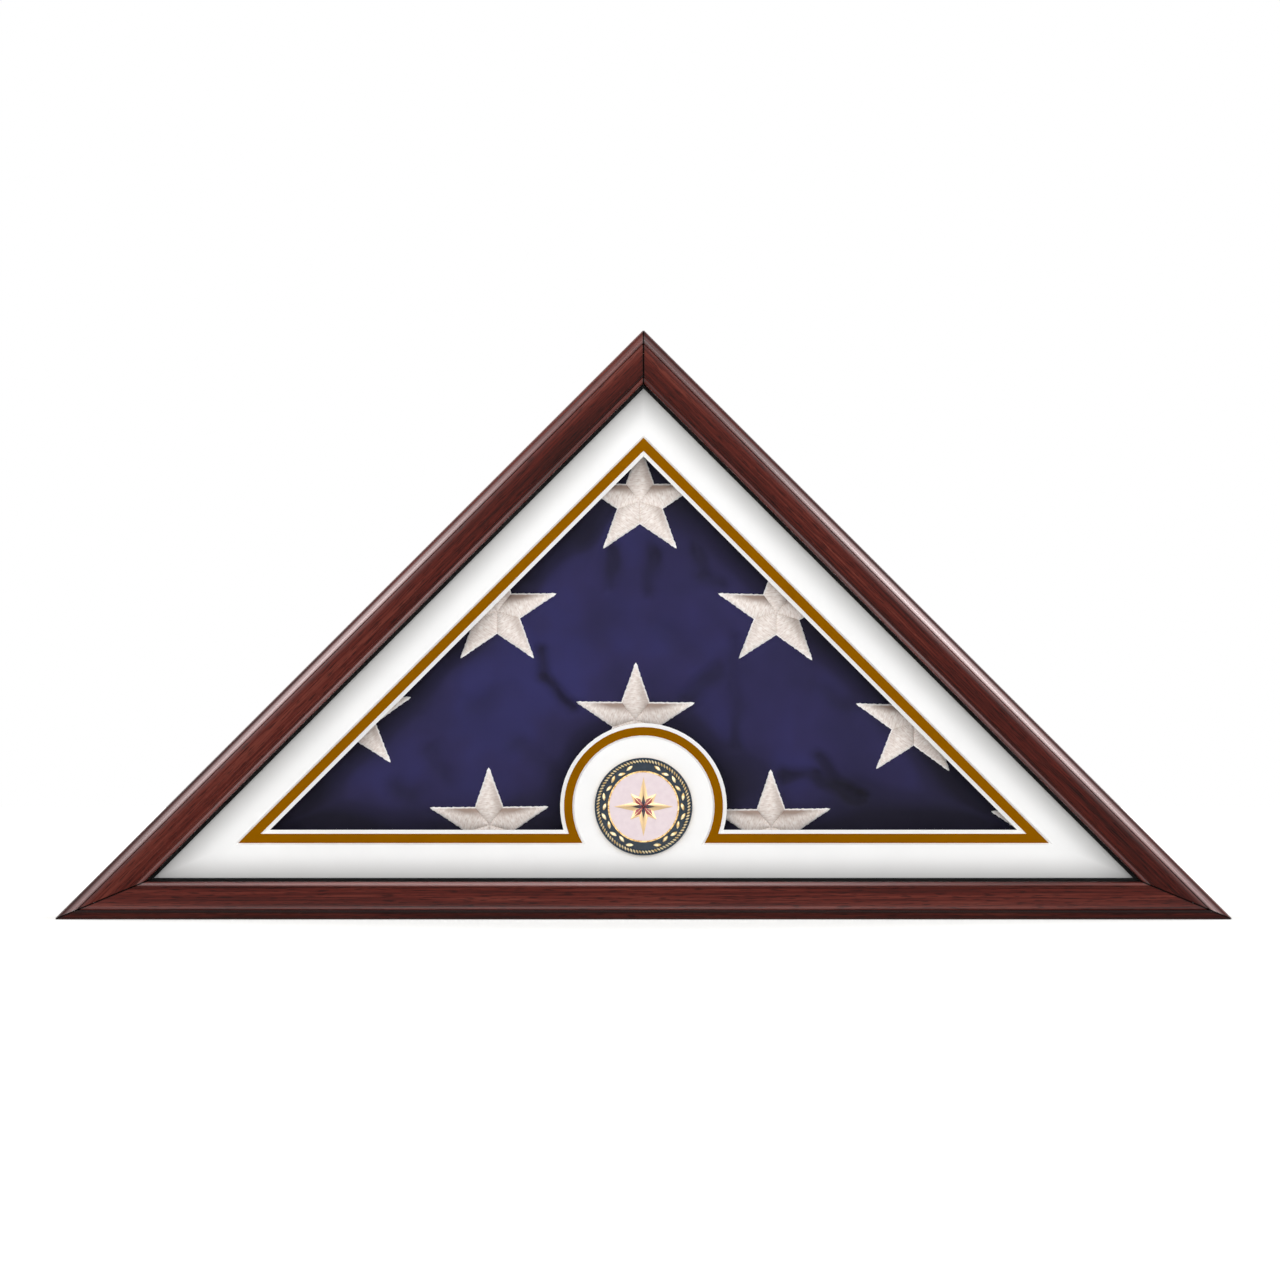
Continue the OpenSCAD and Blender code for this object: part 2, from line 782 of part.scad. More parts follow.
module turn_button_screws() {
    color("#d2c9b0")
        for (b = BUTTONS)
            at_button(b) translate([0, 0, button_t + slip_gap]) {
                difference() {
                    rotate_extrude()
                        polygon(concat([[0, 0], [head_r, 0]],
                            arc([head_r - head_soft, head_h - head_soft], head_soft, 0, 90, 5), [[0, head_h]]));
                    cross_slot(recess_l, head_h);
                }
                shank(screw_r, screw_l + button_t + 2 * slip_gap);
            }
}

// ---- Back ----

module panel_outline(w, top) {
    intersection() {
        polygon(outline(w));
        translate([panel_blunt - half_w(w), 0]) square([2 * (half_w(w) - panel_blunt), top]);
    }
}

module back_panel() {
    color("#3a2420")
        slab(rebate_v + panel_play, panel_t) panel_outline(panel_in, block_z - panel_gap);
}

module back_lining() {
    color("#181a24")
        slab(lining_v, lining_t) panel_outline(lining_in, block_z - 2 * panel_gap);
}

moulding("bottom");  // moulding_bottom
moulding("left");  // moulding_left
moulding("right");  // moulding_right
mitre_nails();
box_side("bottom");  // side_bottom
box_side("left");  // side_left
box_side("right");  // side_right
glass_pane();
spacer("bottom");  // spacer_bottom
spacer("left");  // spacer_left
spacer("right");  // spacer_right
top_mat();
under_mat_facing();
under_mat_core();
medallion_disc();
medallion_rope();
medallion_dark_ring();
medallion_field();
medallion_rose();
medallion_laurel();
medallion_pad();
folded_flag();
flag_stars();
hanging_block();
keyhole_plate();
keyhole_screws();
wall_bumpers();
turn_button_screws();
back_panel();
back_lining();
turn_button(BUTTONS[0]);  // turn_button_base_left
turn_button(BUTTONS[1]);  // turn_button_base_right
turn_button(BUTTONS[2]);  // turn_button_left_low
turn_button(BUTTONS[3]);  // turn_button_left_high
turn_button(BUTTONS[4]);  // turn_button_right_low
turn_button(BUTTONS[5]);  // turn_button_right_high
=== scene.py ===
# %% [markdown]
# # A folded flag in its display case
# The object is a triangular box of mahogany mouldings, glazed in front, with a double mat, a
# struck medallion and a folded cotton flag behind the mat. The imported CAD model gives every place
# and size. This lesson builds the surfaces that the eye reads as wood, paper, thread and brass.

# %% The frame
import math

import bmesh
import bpy
import numpy as np
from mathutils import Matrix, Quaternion, Vector


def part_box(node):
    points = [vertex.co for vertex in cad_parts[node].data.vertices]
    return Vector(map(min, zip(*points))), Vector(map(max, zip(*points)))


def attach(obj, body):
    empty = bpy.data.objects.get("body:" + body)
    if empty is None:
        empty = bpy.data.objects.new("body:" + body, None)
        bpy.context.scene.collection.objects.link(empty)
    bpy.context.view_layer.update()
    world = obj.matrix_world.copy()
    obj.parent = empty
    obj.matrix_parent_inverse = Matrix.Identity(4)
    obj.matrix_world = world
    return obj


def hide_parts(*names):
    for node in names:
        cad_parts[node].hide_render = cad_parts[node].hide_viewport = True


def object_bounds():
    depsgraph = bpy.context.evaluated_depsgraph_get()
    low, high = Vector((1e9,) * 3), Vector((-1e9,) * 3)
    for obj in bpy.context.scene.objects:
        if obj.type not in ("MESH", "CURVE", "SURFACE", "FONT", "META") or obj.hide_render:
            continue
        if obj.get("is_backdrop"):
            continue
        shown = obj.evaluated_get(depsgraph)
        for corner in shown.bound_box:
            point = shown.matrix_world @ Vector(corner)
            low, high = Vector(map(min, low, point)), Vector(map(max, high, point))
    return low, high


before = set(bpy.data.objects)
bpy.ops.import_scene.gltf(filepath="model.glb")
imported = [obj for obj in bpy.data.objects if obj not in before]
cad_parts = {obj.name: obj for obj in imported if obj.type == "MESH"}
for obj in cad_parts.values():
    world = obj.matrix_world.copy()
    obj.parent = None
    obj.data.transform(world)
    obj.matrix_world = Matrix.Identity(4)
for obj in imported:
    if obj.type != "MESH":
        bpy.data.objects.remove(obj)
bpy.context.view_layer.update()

MM = 0.001
rail_low, rail_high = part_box("moulding_bottom")
FRONT = rail_low.y / MM  # depth is counted from the front of the moulding, in mm
CASE_W = (rail_high.x - rail_low.x) / MM
CASE_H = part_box("moulding_left")[1].z / MM
print(f"case {CASE_W:.1f} x {CASE_H:.1f} mm, front at y = {FRONT:.1f} mm")

# %% [markdown]
# ## Camera
# The case is seen square from the front with almost no perspective, as through a long lens. A
# camera six metres away with a lens to match does that. A shorter lens closer by would show the
# inner walls of the box, which a viewer across the room doesn't see.

# %% Camera
CAMERA_AWAY = 6.0  # m in front of the moulding
VIEW_WIDTH = 0.7159  # m of the front plane across the picture
VIEW_X, VIEW_Z = -0.00196, 0.1564  # m, the point in the middle of the picture


def add_object(name, data):
    """A new object in the scene that shows its data."""
    made = bpy.data.objects.new(name, data)
    bpy.context.scene.collection.objects.link(made)
    return made


camera_data = bpy.data.cameras.new("camera")
camera_data.sensor_width = 36.0
camera_data.lens = camera_data.sensor_width * CAMERA_AWAY / VIEW_WIDTH
camera_data.clip_end = 50.0
camera = add_object("camera", camera_data)
camera.location = (VIEW_X, FRONT * MM - CAMERA_AWAY, VIEW_Z)
camera.rotation_euler = (math.pi / 2, 0, 0)
bpy.context.scene.camera = camera
print(f"lens {camera_data.lens:.0f} mm")

# %% [markdown]
# ## Colours, nodes and materials
# Paint and dye are described by the sRGB hex values that a colour card gives, and Blender wants
# linear light, so one function converts. A second adds a node with its settings and links. A third
# starts a material from a Principled shader with its plain numbers on the shader's own sockets.


# %% Colour, node and material helpers
def colour(hex_value):
    """Linear RGBA of an sRGB hex colour: s / 12.92 when s is small, else ((s + 0.055) / 1.055) ** 2.4."""
    s = np.array([int(hex_value[i:i + 2], 16) for i in (1, 3, 5)]) / 255
    linear = np.where(s <= 0.04045, s / 12.92, ((s + 0.055) / 1.055) ** 2.4)
    return (*linear.tolist(), 1.0)


def feed(tree, node, inputs):
    """Fills a node's sockets, each with a number, a colour or a link. A node stands for its first output."""
    for key, value in inputs.items():
        if isinstance(value, bpy.types.Node):
            value = value.outputs[0]
        if isinstance(value, bpy.types.NodeSocket):
            tree.links.new(value, node.inputs[key])
        else:
            node.inputs[key].default_value = value


def add_node(tree, kind, inputs=None, stops=(), **settings):
    """Adds a node: settings are its properties, inputs fill its sockets, and stops are a ramp's colours."""
    node = tree.nodes.new("ShaderNode" + kind)
    for key, value in settings.items():
        setattr(node, key, value)
    feed(tree, node, inputs or {})
    for number, (place, shade) in enumerate(stops):
        elements = node.color_ramp.elements
        element = elements[number] if number < 2 else elements.new(place)
        element.position, element.color = place, colour(shade)
    return node


def start_material(name, shade, **sockets):
    """A material with one Principled shader: its colour and the numbers of its sockets.
    Returns the material, its tree and the shader."""
    material = bpy.data.materials.new(name)
    material.use_nodes = True
    tree = material.node_tree
    skin = tree.nodes["Principled BSDF"]
    numbers = {key.replace("_", " "): value for key, value in sockets.items()}
    feed(tree, skin, {"Base Color": colour(shade), **numbers})
    return material, tree, skin


def cover(mesh, material):
    """Gives a mesh its one material."""
    mesh.materials.clear()
    mesh.materials.append(material)


def dress(material, *nodes):
    """Gives CAD nodes a material."""
    for name in nodes:
        cover(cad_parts[name].data, material)


# %% [markdown]
# ## Meshes
# Every new piece is worked out as whole numpy arrays: a grid of points from a function of two
# parameters. Two builders turn grids into closed solids. One wraps a grid round, like a profile
# carried along a path, and one closes the space between a front grid and a back grid.


# %% Mesh builders
def make_piece(name, shape, material, body="case", marks=None, sharp=40.0):
    """A closed mesh. Its shape is points in mm (depth from the front), blocks of faces with as many corners
    each, and UV blocks. Faces are turned outward by the sign of the volume that they enclose. marks are
    numbers kept at the points."""
    points, blocks, uv = shape
    points = points.reshape(-1, 3) * MM
    points[:, 1] += FRONT * MM
    volume = 0.0
    for block in blocks:
        corner = points[block]
        for k in range(1, block.shape[1] - 1):
            volume += np.einsum("ij,ij->", corner[:, 0], np.cross(corner[:, k], corner[:, k + 1]))
    step = 1 if volume > 0 else -1
    mesh = bpy.data.meshes.new(name)
    mesh.from_pydata(points.tolist(), [], [face for block in blocks for face in block[:, ::step].tolist()])
    if len(uv):
        layer = mesh.uv_layers.new(name="lengths")
        corners = np.concatenate([part[:, ::step].reshape(-1, 2) for part in uv])
        layer.uv.foreach_set("vector", corners.astype(np.float32).ravel())
    for key, values in (marks or {}).items():
        at_points = np.zeros(len(points), np.float32)  # a pole, which is past the grid's points, keeps 0
        at_points[:values.size] = values.ravel()
        mesh.attributes.new(key, "FLOAT", "POINT").data.foreach_set("value", at_points)
    mesh.polygons.foreach_set("use_smooth", np.ones(len(mesh.polygons), bool))
    mesh.set_sharp_from_angle(angle=math.radians(sharp))
    cover(mesh, material)
    piece = add_object(name, mesh)
    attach(piece, body)
    print(f"{name}: {len(mesh.polygons)} faces, {abs(volume) / 6 / MM ** 3 / 1000:.2f} cm3")
    return piece


def quads_of(values):
    """The four corners of every square of grids (solids, rows, columns), which hold numbers or UVs."""
    corners = [values[:, :-1, :-1], values[:, :-1, 1:], values[:, 1:, 1:], values[:, 1:, :-1]]
    return np.stack(corners, 3).reshape(-1, 4, *values.shape[3:])


def wrapped(grid, uv=None):
    """Faces of solids whose grids (solids, rows, columns, 3) are closed along the columns. A fan closes the
    first and the last row, or one face where there is a UV map, which has one column more."""
    solids, rows, columns = grid.shape[:3]
    number = np.arange(solids * rows * columns).reshape(solids, rows, columns)
    points, quads = grid.reshape(-1, 3), quads_of(np.concatenate([number, number[:, :, :1]], 2))
    if uv is not None:
        end_uv = np.broadcast_to(uv[:, :1, 0], (solids, columns, 2))
        return points, [quads, number[:, 0, ::-1], number[:, -1]], [quads_of(uv), end_uv, end_uv]
    following = np.roll(number, -1, axis=2)
    poles = np.stack([grid[:, 0].mean(1), grid[:, -1].mean(1)], 1).reshape(-1, 3)
    pole = len(points) + 2 * np.arange(solids)[:, None] + np.zeros((1, columns), int)
    fans = [[pole, following[:, 0], number[:, 0]], [pole + 1, number[:, -1], following[:, -1]]]
    fans = [np.stack(fan, -1).reshape(-1, 3) for fan in fans]
    return np.concatenate([points, poles]), [quads, *fans], ()


def between(front, back, uv=None):
    """Faces of solids between two grids (solids, rows, columns, 3) with the same outline: both faces and the
    walls."""
    number = np.arange(front[..., 0].size).reshape(front.shape[:3])
    quads, behind = quads_of(number), number.size
    rim = [number[:, 0, :], number[:, 1:, -1], number[:, -1, -2::-1], number[:, -2:0:-1, 0]]
    rim = np.concatenate(rim, 1)
    following = np.roll(rim, -1, axis=1)
    walls = np.stack([following, rim, rim + behind, following + behind], -1).reshape(-1, 4)
    points = np.concatenate([front.reshape(-1, 3), back.reshape(-1, 3)])
    blocks = [quads, quads[:, ::-1] + behind, walls]
    if uv is None:
        return points, blocks, ()
    at = np.concatenate([uv.reshape(-1, 2)] * 2)
    return points, blocks, [at[block] for block in blocks]


# %% Eased copies of CAD nodes
def eased(node, width, material, body):
    """A copy of a CAD node with its triangles merged and its sharp edges eased by a Bevel of width mm."""
    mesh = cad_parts[node].data.copy()
    work = bmesh.new()
    work.from_mesh(mesh)
    bmesh.ops.remove_doubles(work, verts=work.verts, dist=1e-6)
    bmesh.ops.dissolve_limit(work, angle_limit=math.radians(0.5), verts=work.verts, edges=work.edges)
    bmesh.ops.recalc_face_normals(work, faces=work.faces)
    work.to_mesh(mesh)
    work.free()
    mesh.polygons.foreach_set("use_smooth", np.ones(len(mesh.polygons), bool))
    cover(mesh, material)
    piece = add_object(node + "_eased", mesh)
    bevel = piece.modifiers.new("ease", "BEVEL")
    bevel.width, bevel.segments, bevel.limit_method = width * MM, 2, "ANGLE"
    bevel.angle_limit, bevel.harden_normals = math.radians(40), True
    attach(piece, body)
    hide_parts(node)


# %% [markdown]
# ## The triangle
# Every inset of a triangle is the same triangle shrunk towards the middle of its inscribed circle.
# So a corner at an inset, the distance of a point from the nearest side, and the rings of the flag
# all come from one small set of formulas.

# %% Triangle
SLOPE = math.atan2(CASE_H, CASE_W / 2)
HEART = CASE_W * CASE_H / (CASE_W + 2 * math.hypot(CASE_W / 2, CASE_H))  # radius of the inscribed circle


def corners_at(inset):
    """Left, right and peak corners of the outline moved inward by inset, each (..., 2) as x and z in mm."""
    inset = np.asarray(inset, float)
    half = CASE_W / 2 - inset / math.tan(SLOPE / 2)
    peak = CASE_H - inset / math.cos(SLOPE)
    return {"left": np.stack([-half, inset], -1), "right": np.stack([half, inset], -1),
            "peak": np.stack([np.zeros_like(inset), peak], -1)}


def from_slope(x, z):
    """Distance of points from the right side: (height - z) cos(slope) - x sin(slope)."""
    return (CASE_H - z) * math.cos(SLOPE) - x * math.sin(SLOPE)


def inset_of(x, z):
    """Distance of points from the nearest side of the outline."""
    return np.minimum(z, from_slope(np.abs(x), z))


def drawn_in(x, z, share):
    """Points brought towards the middle of the inscribed circle, to a share of their distance from it."""
    return x * share, HEART + (z - HEART) * share


def ray(reach, angle):
    """Points at a reach from the middle, in the directions of the angles."""
    return reach * np.stack([np.cos(angle), np.sin(angle)], -1)


def run_along(line):
    """How far along a line of points each of them lies."""
    return np.concatenate([[0], np.cumsum(np.linalg.norm(np.diff(line, axis=0), axis=1))])


print(f"slopes at {math.degrees(SLOPE):.1f} degrees, inscribed circle {HEART:.1f} mm")

# %% [markdown]
# ## Mahogany
# The rails are plain hardwood stained to a red mahogany and sprayed with satin lacquer. Stain
# sinks into the pores, which shows as short dark strokes along the grain, over slow bands of
# lighter and darker wood. The grain has to run along each rail, so the rails read a UV map of real
# lengths along and across them, and the CAD sides read Object coordinates turned to the slope.


# %% Mahogany material
def mahogany(name, source, turn=0.0, shift=0.0, shine=0.12):
    """Stained wood with satin lacquer. Grain lies along the first coordinate, in metres, after a turn about
    Y. One mark at the points brings up the coat's gloss where the rails are polished, and lightens the
    colour towards pink there as a painted highlight. Another darkens it, as dark stain at cut ends and as
    painted shade along the lowest rail."""
    material, tree, skin = start_material(
        name, "#4c1a16", Roughness=0.34, Specular_IOR_Level=shine, Coat_IOR=3.0, Coat_Roughness=0.2)
    where = add_node(tree, "TexCoord").outputs[source]
    laid = {"Vector": where, "Rotation": (0, turn, 0), "Location": (shift, shift, shift)}
    laid = add_node(tree, "Mapping", laid)
    # a slow figure in bands 7 mm wide and 300 mm long, fibres 1.2 mm wide and 70 mm long (coarser than the
    # real 0.3 mm so that they show), and pores as strokes 0.7 mm wide and 9 mm long
    layers = []
    for scale, detail in (((3.3, 140, 140), 2.0), ((14, 820, 820), 3.0), ((110, 1500, 1500), 1.0)):
        drawn_out = add_node(tree, "Mapping", {"Vector": laid, "Scale": scale})
        layers.append(add_node(tree, "TexNoise", {"Vector": drawn_out, "Scale": 1.0, "Detail": detail}))
    figure, fibres, strokes = layers
    tone = add_node(tree, "Math", {0: figure, 1: fibres}, operation="ADD")
    tone = add_node(tree, "Math", {0: tone, 1: 0.5}, operation="MULTIPLY")
    stain = [(0.36, "#300d09"), (0.5, "#501912"), (0.64, "#6a3026")]
    stain = add_node(tree, "ValToRGB", {"Fac": tone}, stain)
    pores = add_node(tree, "ValToRGB", {"Fac": strokes}, [(0.34, "#a89c9c"), (0.46, "#ffffff")])
    wood = add_node(tree, "Mix", {0: 1.0, 6: stain, 7: pores}, data_type="RGBA", blend_type="MULTIPLY")
    # painted highlight: where the rails are polished, their colour is also lightened towards pink
    polish_and_highlight = add_node(tree, "Attribute", attribute_name="polish_and_highlight").outputs["Fac"]
    highlight_share = add_node(tree, "Math", {0: polish_and_highlight, 1: 0.5}, operation="MULTIPLY")
    blended = add_node(tree, "Mix", {0: highlight_share, 6: wood.outputs[2], 7: colour("#be7876")}, data_type="RGBA")
    # painted shade along the lowest rail's quirk and nose, and dark stain at the cut ends
    stain_and_shade = add_node(tree, "Attribute", attribute_name="stain_and_shade").outputs["Fac"]
    dark = add_node(tree, "Mix", {0: stain_and_shade, 6: blended.outputs[2], 7: colour("#120403")}, data_type="RGBA")
    gloss = add_node(tree, "MapRange", {"Value": fibres, "To Min": 0.28, "To Max": 0.42})
    relief = add_node(tree, "Bump", {"Height": fibres, "Strength": 0.15, "Distance": 0.0002})
    feed(tree, skin, {"Base Color": dark.outputs[2], "Coat Weight": polish_and_highlight, "Roughness": gloss,
                      "Normal": relief})
    return material


# %% [markdown]
# ## The front moulding
# Each rail is one profile run along a straight path and cut at both ends on the mitre plane. The
# profile has a rounded nose along the outer edge, a quirk, a broad face with a rounded edge that
# slopes down to a groove, and a small bead at the sight edge. A bar with flat cut ends could be
# trimmed by a Boolean, but here both ends of every profile line are worked out on the mitre.

# %% Moulding profile
RAIL_W, LIP, RABBET = 21.0, 9.0, 6.0  # mm: whole width, thickness of the lip, step behind it
RAIL_DEPTH = rail_high.y / MM - FRONT
NOSE_R, NOSE_TURN, QUIRK_W = 4.3, 97.0, 0.45  # the nose turns a little past its front, into the quirk
FACE_DROP, FACE_R, CROWN = 0.5, 0.9, 0.5  # mm: how far the face lies back, its edge, its rounding
GROOVE_W, GROOVE_SLANT, SIGHT_R, SIGHT_DROP = 0.8, 0.25, 1.4, 3.8


def bead(depth, inset, radius, start, end, steps=14):
    """Arc of a bead as depth and inset: 0 degrees is its outer side and 90 its front."""
    turn = np.radians(np.linspace(start, end, steps + 1))
    return np.stack([depth - radius * np.sin(turn), inset - radius * np.cos(turn)], -1)


nose = bead(NOSE_R, NOSE_R, NOSE_R, 0, NOSE_TURN, 20)
NOSE_END = nose[-1, 1]
face_start = np.array([FACE_DROP, NOSE_END + QUIRK_W + FACE_R])
sight_foot = np.array([SIGHT_DROP + SIGHT_R, RAIL_W - 2 * SIGHT_R])
face_end = sight_foot - GROOVE_W
share = np.linspace(0, 1, 15)[1:, None]
moulding_profile = np.concatenate([
    [[RAIL_DEPTH, 0]], nose, [[FACE_DROP + FACE_R, NOSE_END]],
    bead(face_start[0] + FACE_R, face_start[1], FACE_R, 0, 90),
    face_start + (face_end - face_start) * share - [4 * CROWN, 0] * share * (1 - share),
    [[sight_foot[0], face_end[1] + GROOVE_SLANT]],
    bead(sight_foot[0], RAIL_W - SIGHT_R, SIGHT_R, 0, 180),
    [[LIP, RAIL_W], [LIP, RAIL_W - RABBET], [RAIL_DEPTH, RAIL_W - RABBET]]])
print(f"profile of {len(moulding_profile)} points, {RAIL_W:.0f} mm wide and {RAIL_DEPTH:.1f} mm deep")

# %% [markdown]
# ## Polish, painted highlight, stain and painted shade on the rails
# The noses of the sloping rails get more gloss and a painted highlight, strongest at the middle of
# each rail. The lowest rail gets painted shade along its quirk and nose, and cut ends drink more
# stain, which draws the mitres. Masks could be painted by hand. Here two numbers at every point say
# how much polish and painted highlight it gets and how much stain and painted shade, and the
# wood's material reads them.

# %% Marks on the rails
# how much polish and painted highlight the nose, the face's outer edge and the sight bead get
POLISH_AND_HIGHLIGHT = {"bottom": (0.0, 0.1, 0.5), "left": (0.78, 0.13, 0.22), "right": (0.95, 0.2, 0.15)}
NOSE_HIGHLIGHT_FROM, NOSE_HIGHLIGHT_W, EDGE_HIGHLIGHT_W = 1.0, 2.7, 1.2  # mm: the nose's polish and painted highlight grow inward, the edge's are a band
LEAST_HIGHLIGHT = 0.12  # share of the polish and painted highlight that is left at a rail's ends
HIGHLIGHT_SPAN = 0.5, 0.25  # its fading towards a rail's start and its end, as shares of the rail
# painted shade along the lowest rail's quirk and nose, which face away from the light
UNDERSIDE_SHADE = {"bottom": 0.9, "left": 0.0, "right": 0.0}
SHADE_OUT, SHADE_W, SHADE_ON_NOSE = 0.4, 0.8, 0.4  # painted shade: mm from the quirk and wide, and the nose's share of it
CUT_STAIN, CUT_POOLED = 0.002, 0.9  # share of a rail that its dark cut end takes, and how dark that is


def rail_marks(side, profile, middle):
    """How much polish and painted highlight, and how much stain and painted shade, a rail's lines get at
    middle, which goes from -0.5 to 0.5 along the rail. The polish and painted highlight fade as a Gaussian of
    middle, and the edge's highlight and the painted shade are Gaussians of the distance across."""
    depth_at, inset_at = profile.T
    on_nose = inset_at < NOSE_END + 0.01
    on_face = inset_at > NOSE_END + 0.1
    on_bead = (inset_at > sight_foot[1]) * (depth_at < sight_foot[0])
    nose_amount, edge_amount, bead_amount = POLISH_AND_HIGHLIGHT[side]
    polish_and_highlight = nose_amount * on_nose * (depth_at < NOSE_R) * np.clip((inset_at - NOSE_HIGHLIGHT_FROM) / NOSE_HIGHLIGHT_W, 0, 1)
    polish_and_highlight = polish_and_highlight + edge_amount * on_face * np.exp(-((inset_at - face_start[1]) / EDGE_HIGHLIGHT_W) ** 2)
    polish_and_highlight = polish_and_highlight + bead_amount * on_bead
    fading = np.exp(-(middle / np.where(middle < 0, *HIGHLIGHT_SPAN)) ** 2)
    highlight_fade = LEAST_HIGHLIGHT + (1 - LEAST_HIGHLIGHT) * fading
    stain_and_shade = np.exp(-((inset_at - NOSE_END + SHADE_OUT) / SHADE_W) ** 2) + SHADE_ON_NOSE * on_nose
    stain_and_shade = UNDERSIDE_SHADE[side] * np.clip(stain_and_shade, 0, 1) * (depth_at < 3 * NOSE_R)
    on_cut = np.abs(middle) > 0.4999
    return {"polish_and_highlight": polish_and_highlight * highlight_fade, "stain_and_shade": np.maximum(stain_and_shade, CUT_POOLED * on_cut)}


# %% Rails
MITRE_GAP = 0.25  # mm square to the mitre from each cut end: a fine dark line
RAIL_ENDS = {"bottom": ("left", "right"), "left": ("left", "peak"), "right": ("right", "peak")}
MITRE_TURN = {"left": SLOPE / 2, "right": SLOPE / 2, "peak": math.pi / 2 - SLOPE}  # from rail to mitre
GRAIN_SHIFT = 0.37  # m between the rails' places in the grain


def rail(side, profile, stations=60):
    """Profile lines run straight between the two mitres: point = start + t (end - start), for each inset of
    the profile."""
    at = corners_at(profile[:, 1])
    start, end = (at[name] for name in RAIL_ENDS[side])
    along = (end[0] - start[0]) / np.linalg.norm(end[0] - start[0])
    gap_start, gap_end = (MITRE_GAP / math.sin(MITRE_TURN[name]) for name in RAIL_ENDS[side])
    start, end = start + along * gap_start, end - along * gap_end
    t = np.concatenate([[0], np.linspace(CUT_STAIN, 1 - CUT_STAIN, stations - 2), [1]])[:, None, None]
    run = start + t * (end - start)
    depth = np.broadcast_to(profile[:, 0], run.shape[:2])
    grid = np.stack([run[..., 0], depth, run[..., 1]], -1)[None]
    girth = run_along(np.concatenate([profile, profile[:1]]))
    length = (run - start[0]) @ along
    length = np.concatenate([length, length[:, :1]], 1)
    uv = np.stack([length, np.broadcast_to(girth, length.shape)], -1)[None] * MM
    return wrapped(grid, uv), rail_marks(side, profile, t[:, 0] - 0.5)


for number, side in enumerate(RAIL_ENDS):
    shape, marks = rail(side, moulding_profile)
    wood = mahogany(f"mahogany_rail_{side}", "UV", shift=GRAIN_SHIFT * number)
    piece = make_piece(f"rail_{side}", shape, wood, marks=marks)
    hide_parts(f"moulding_{side}")

# %% [markdown]
# ## Box sides and hanging block
# Behind the moulding the box sides are plain boards of the same wood. Their CAD shapes are right,
# so copies with merged triangles get eased edges, which catch light as sanded edges do. They got
# one thin coat where the moulding got several, so they shine much less.

# %% Box sides
THIN_COAT = 0.01
for side, turn in {"bottom": 0.0, "left": SLOPE, "right": -SLOPE}.items():
    wood = mahogany(f"mahogany_side_{side}", "Object", turn, 1.3, shine=THIN_COAT)
    eased(f"side_{side}", 0.5, wood, "case")
block_wood = mahogany("mahogany_block", "Object", 0.0, 2.1, shine=THIN_COAT)
eased("hanging_block", 0.4, block_wood, "case")

# %% [markdown]
# ## Glass
# The pane is float glass with a low-reflection coat, as framers use: it mirrors next to nothing
# head on and more at a slant. A Transparent shader mixed with a Glossy one by Fresnel gives that,
# and lets the lamps reach the mat as real glass does. The coat takes away the small share that
# bare glass mirrors head on, which would only speckle the dark cloth behind it.

# %% Glass material
PANE_IOR, COAT_TAKES = 1.12, 0.004
glass, tree, skin = start_material("float_glass_low_reflection", "#f7fbf9")
clear = add_node(tree, "BsdfTransparent", {"Color": colour("#ffffff")})
mirror = add_node(tree, "BsdfGlossy", {"Color": colour("#ffffff"), "Roughness": 0.02})
slant = add_node(tree, "Fresnel", {"IOR": PANE_IOR})
coated = add_node(tree, "Math", {0: slant, 1: COAT_TAKES}, operation="SUBTRACT", use_clamp=True)
pane = add_node(tree, "MixShader", {0: coated, 1: clear, 2: mirror})
tree.nodes.remove(skin)
feed(tree, tree.nodes["Material Output"], {"Surface": pane})
dress(glass, "glass_pane")

# %% [markdown]
# ## Spacers and mats
# Black plastic strips hold the glass off the mat. The top mat is white board with a smooth paper
# face, the under mat is faced with dull gold paper, and its bevel shows the white core. Paper is
# rough and never quite even, so each has a faint mottle and the tooth of its fibres.


# %% Paper and board
def board(name, shade, other, grain_mm, roughness, tooth, gloss=0.15):
    """Paper or board: mottled between two shades, with a tooth of fibres grain_mm across."""
    material, tree, skin = start_material(name, shade, Roughness=roughness, Specular_IOR_Level=gloss)
    where = add_node(tree, "TexCoord").outputs["Object"]
    clouds = add_node(tree, "TexNoise", {"Vector": where, "Scale": 45.0, "Detail": 4.0})
    mottle = add_node(tree, "ValToRGB", {"Fac": clouds}, [(0.3, shade), (0.7, other)])
    pulp = add_node(tree, "TexNoise", {"Vector": where, "Scale": 1 / (grain_mm * MM), "Detail": 2.0})
    relief = add_node(tree, "Bump", {"Height": pulp, "Strength": tooth, "Distance": 0.0002})
    feed(tree, skin, {"Base Color": mottle, "Normal": relief})
    return material


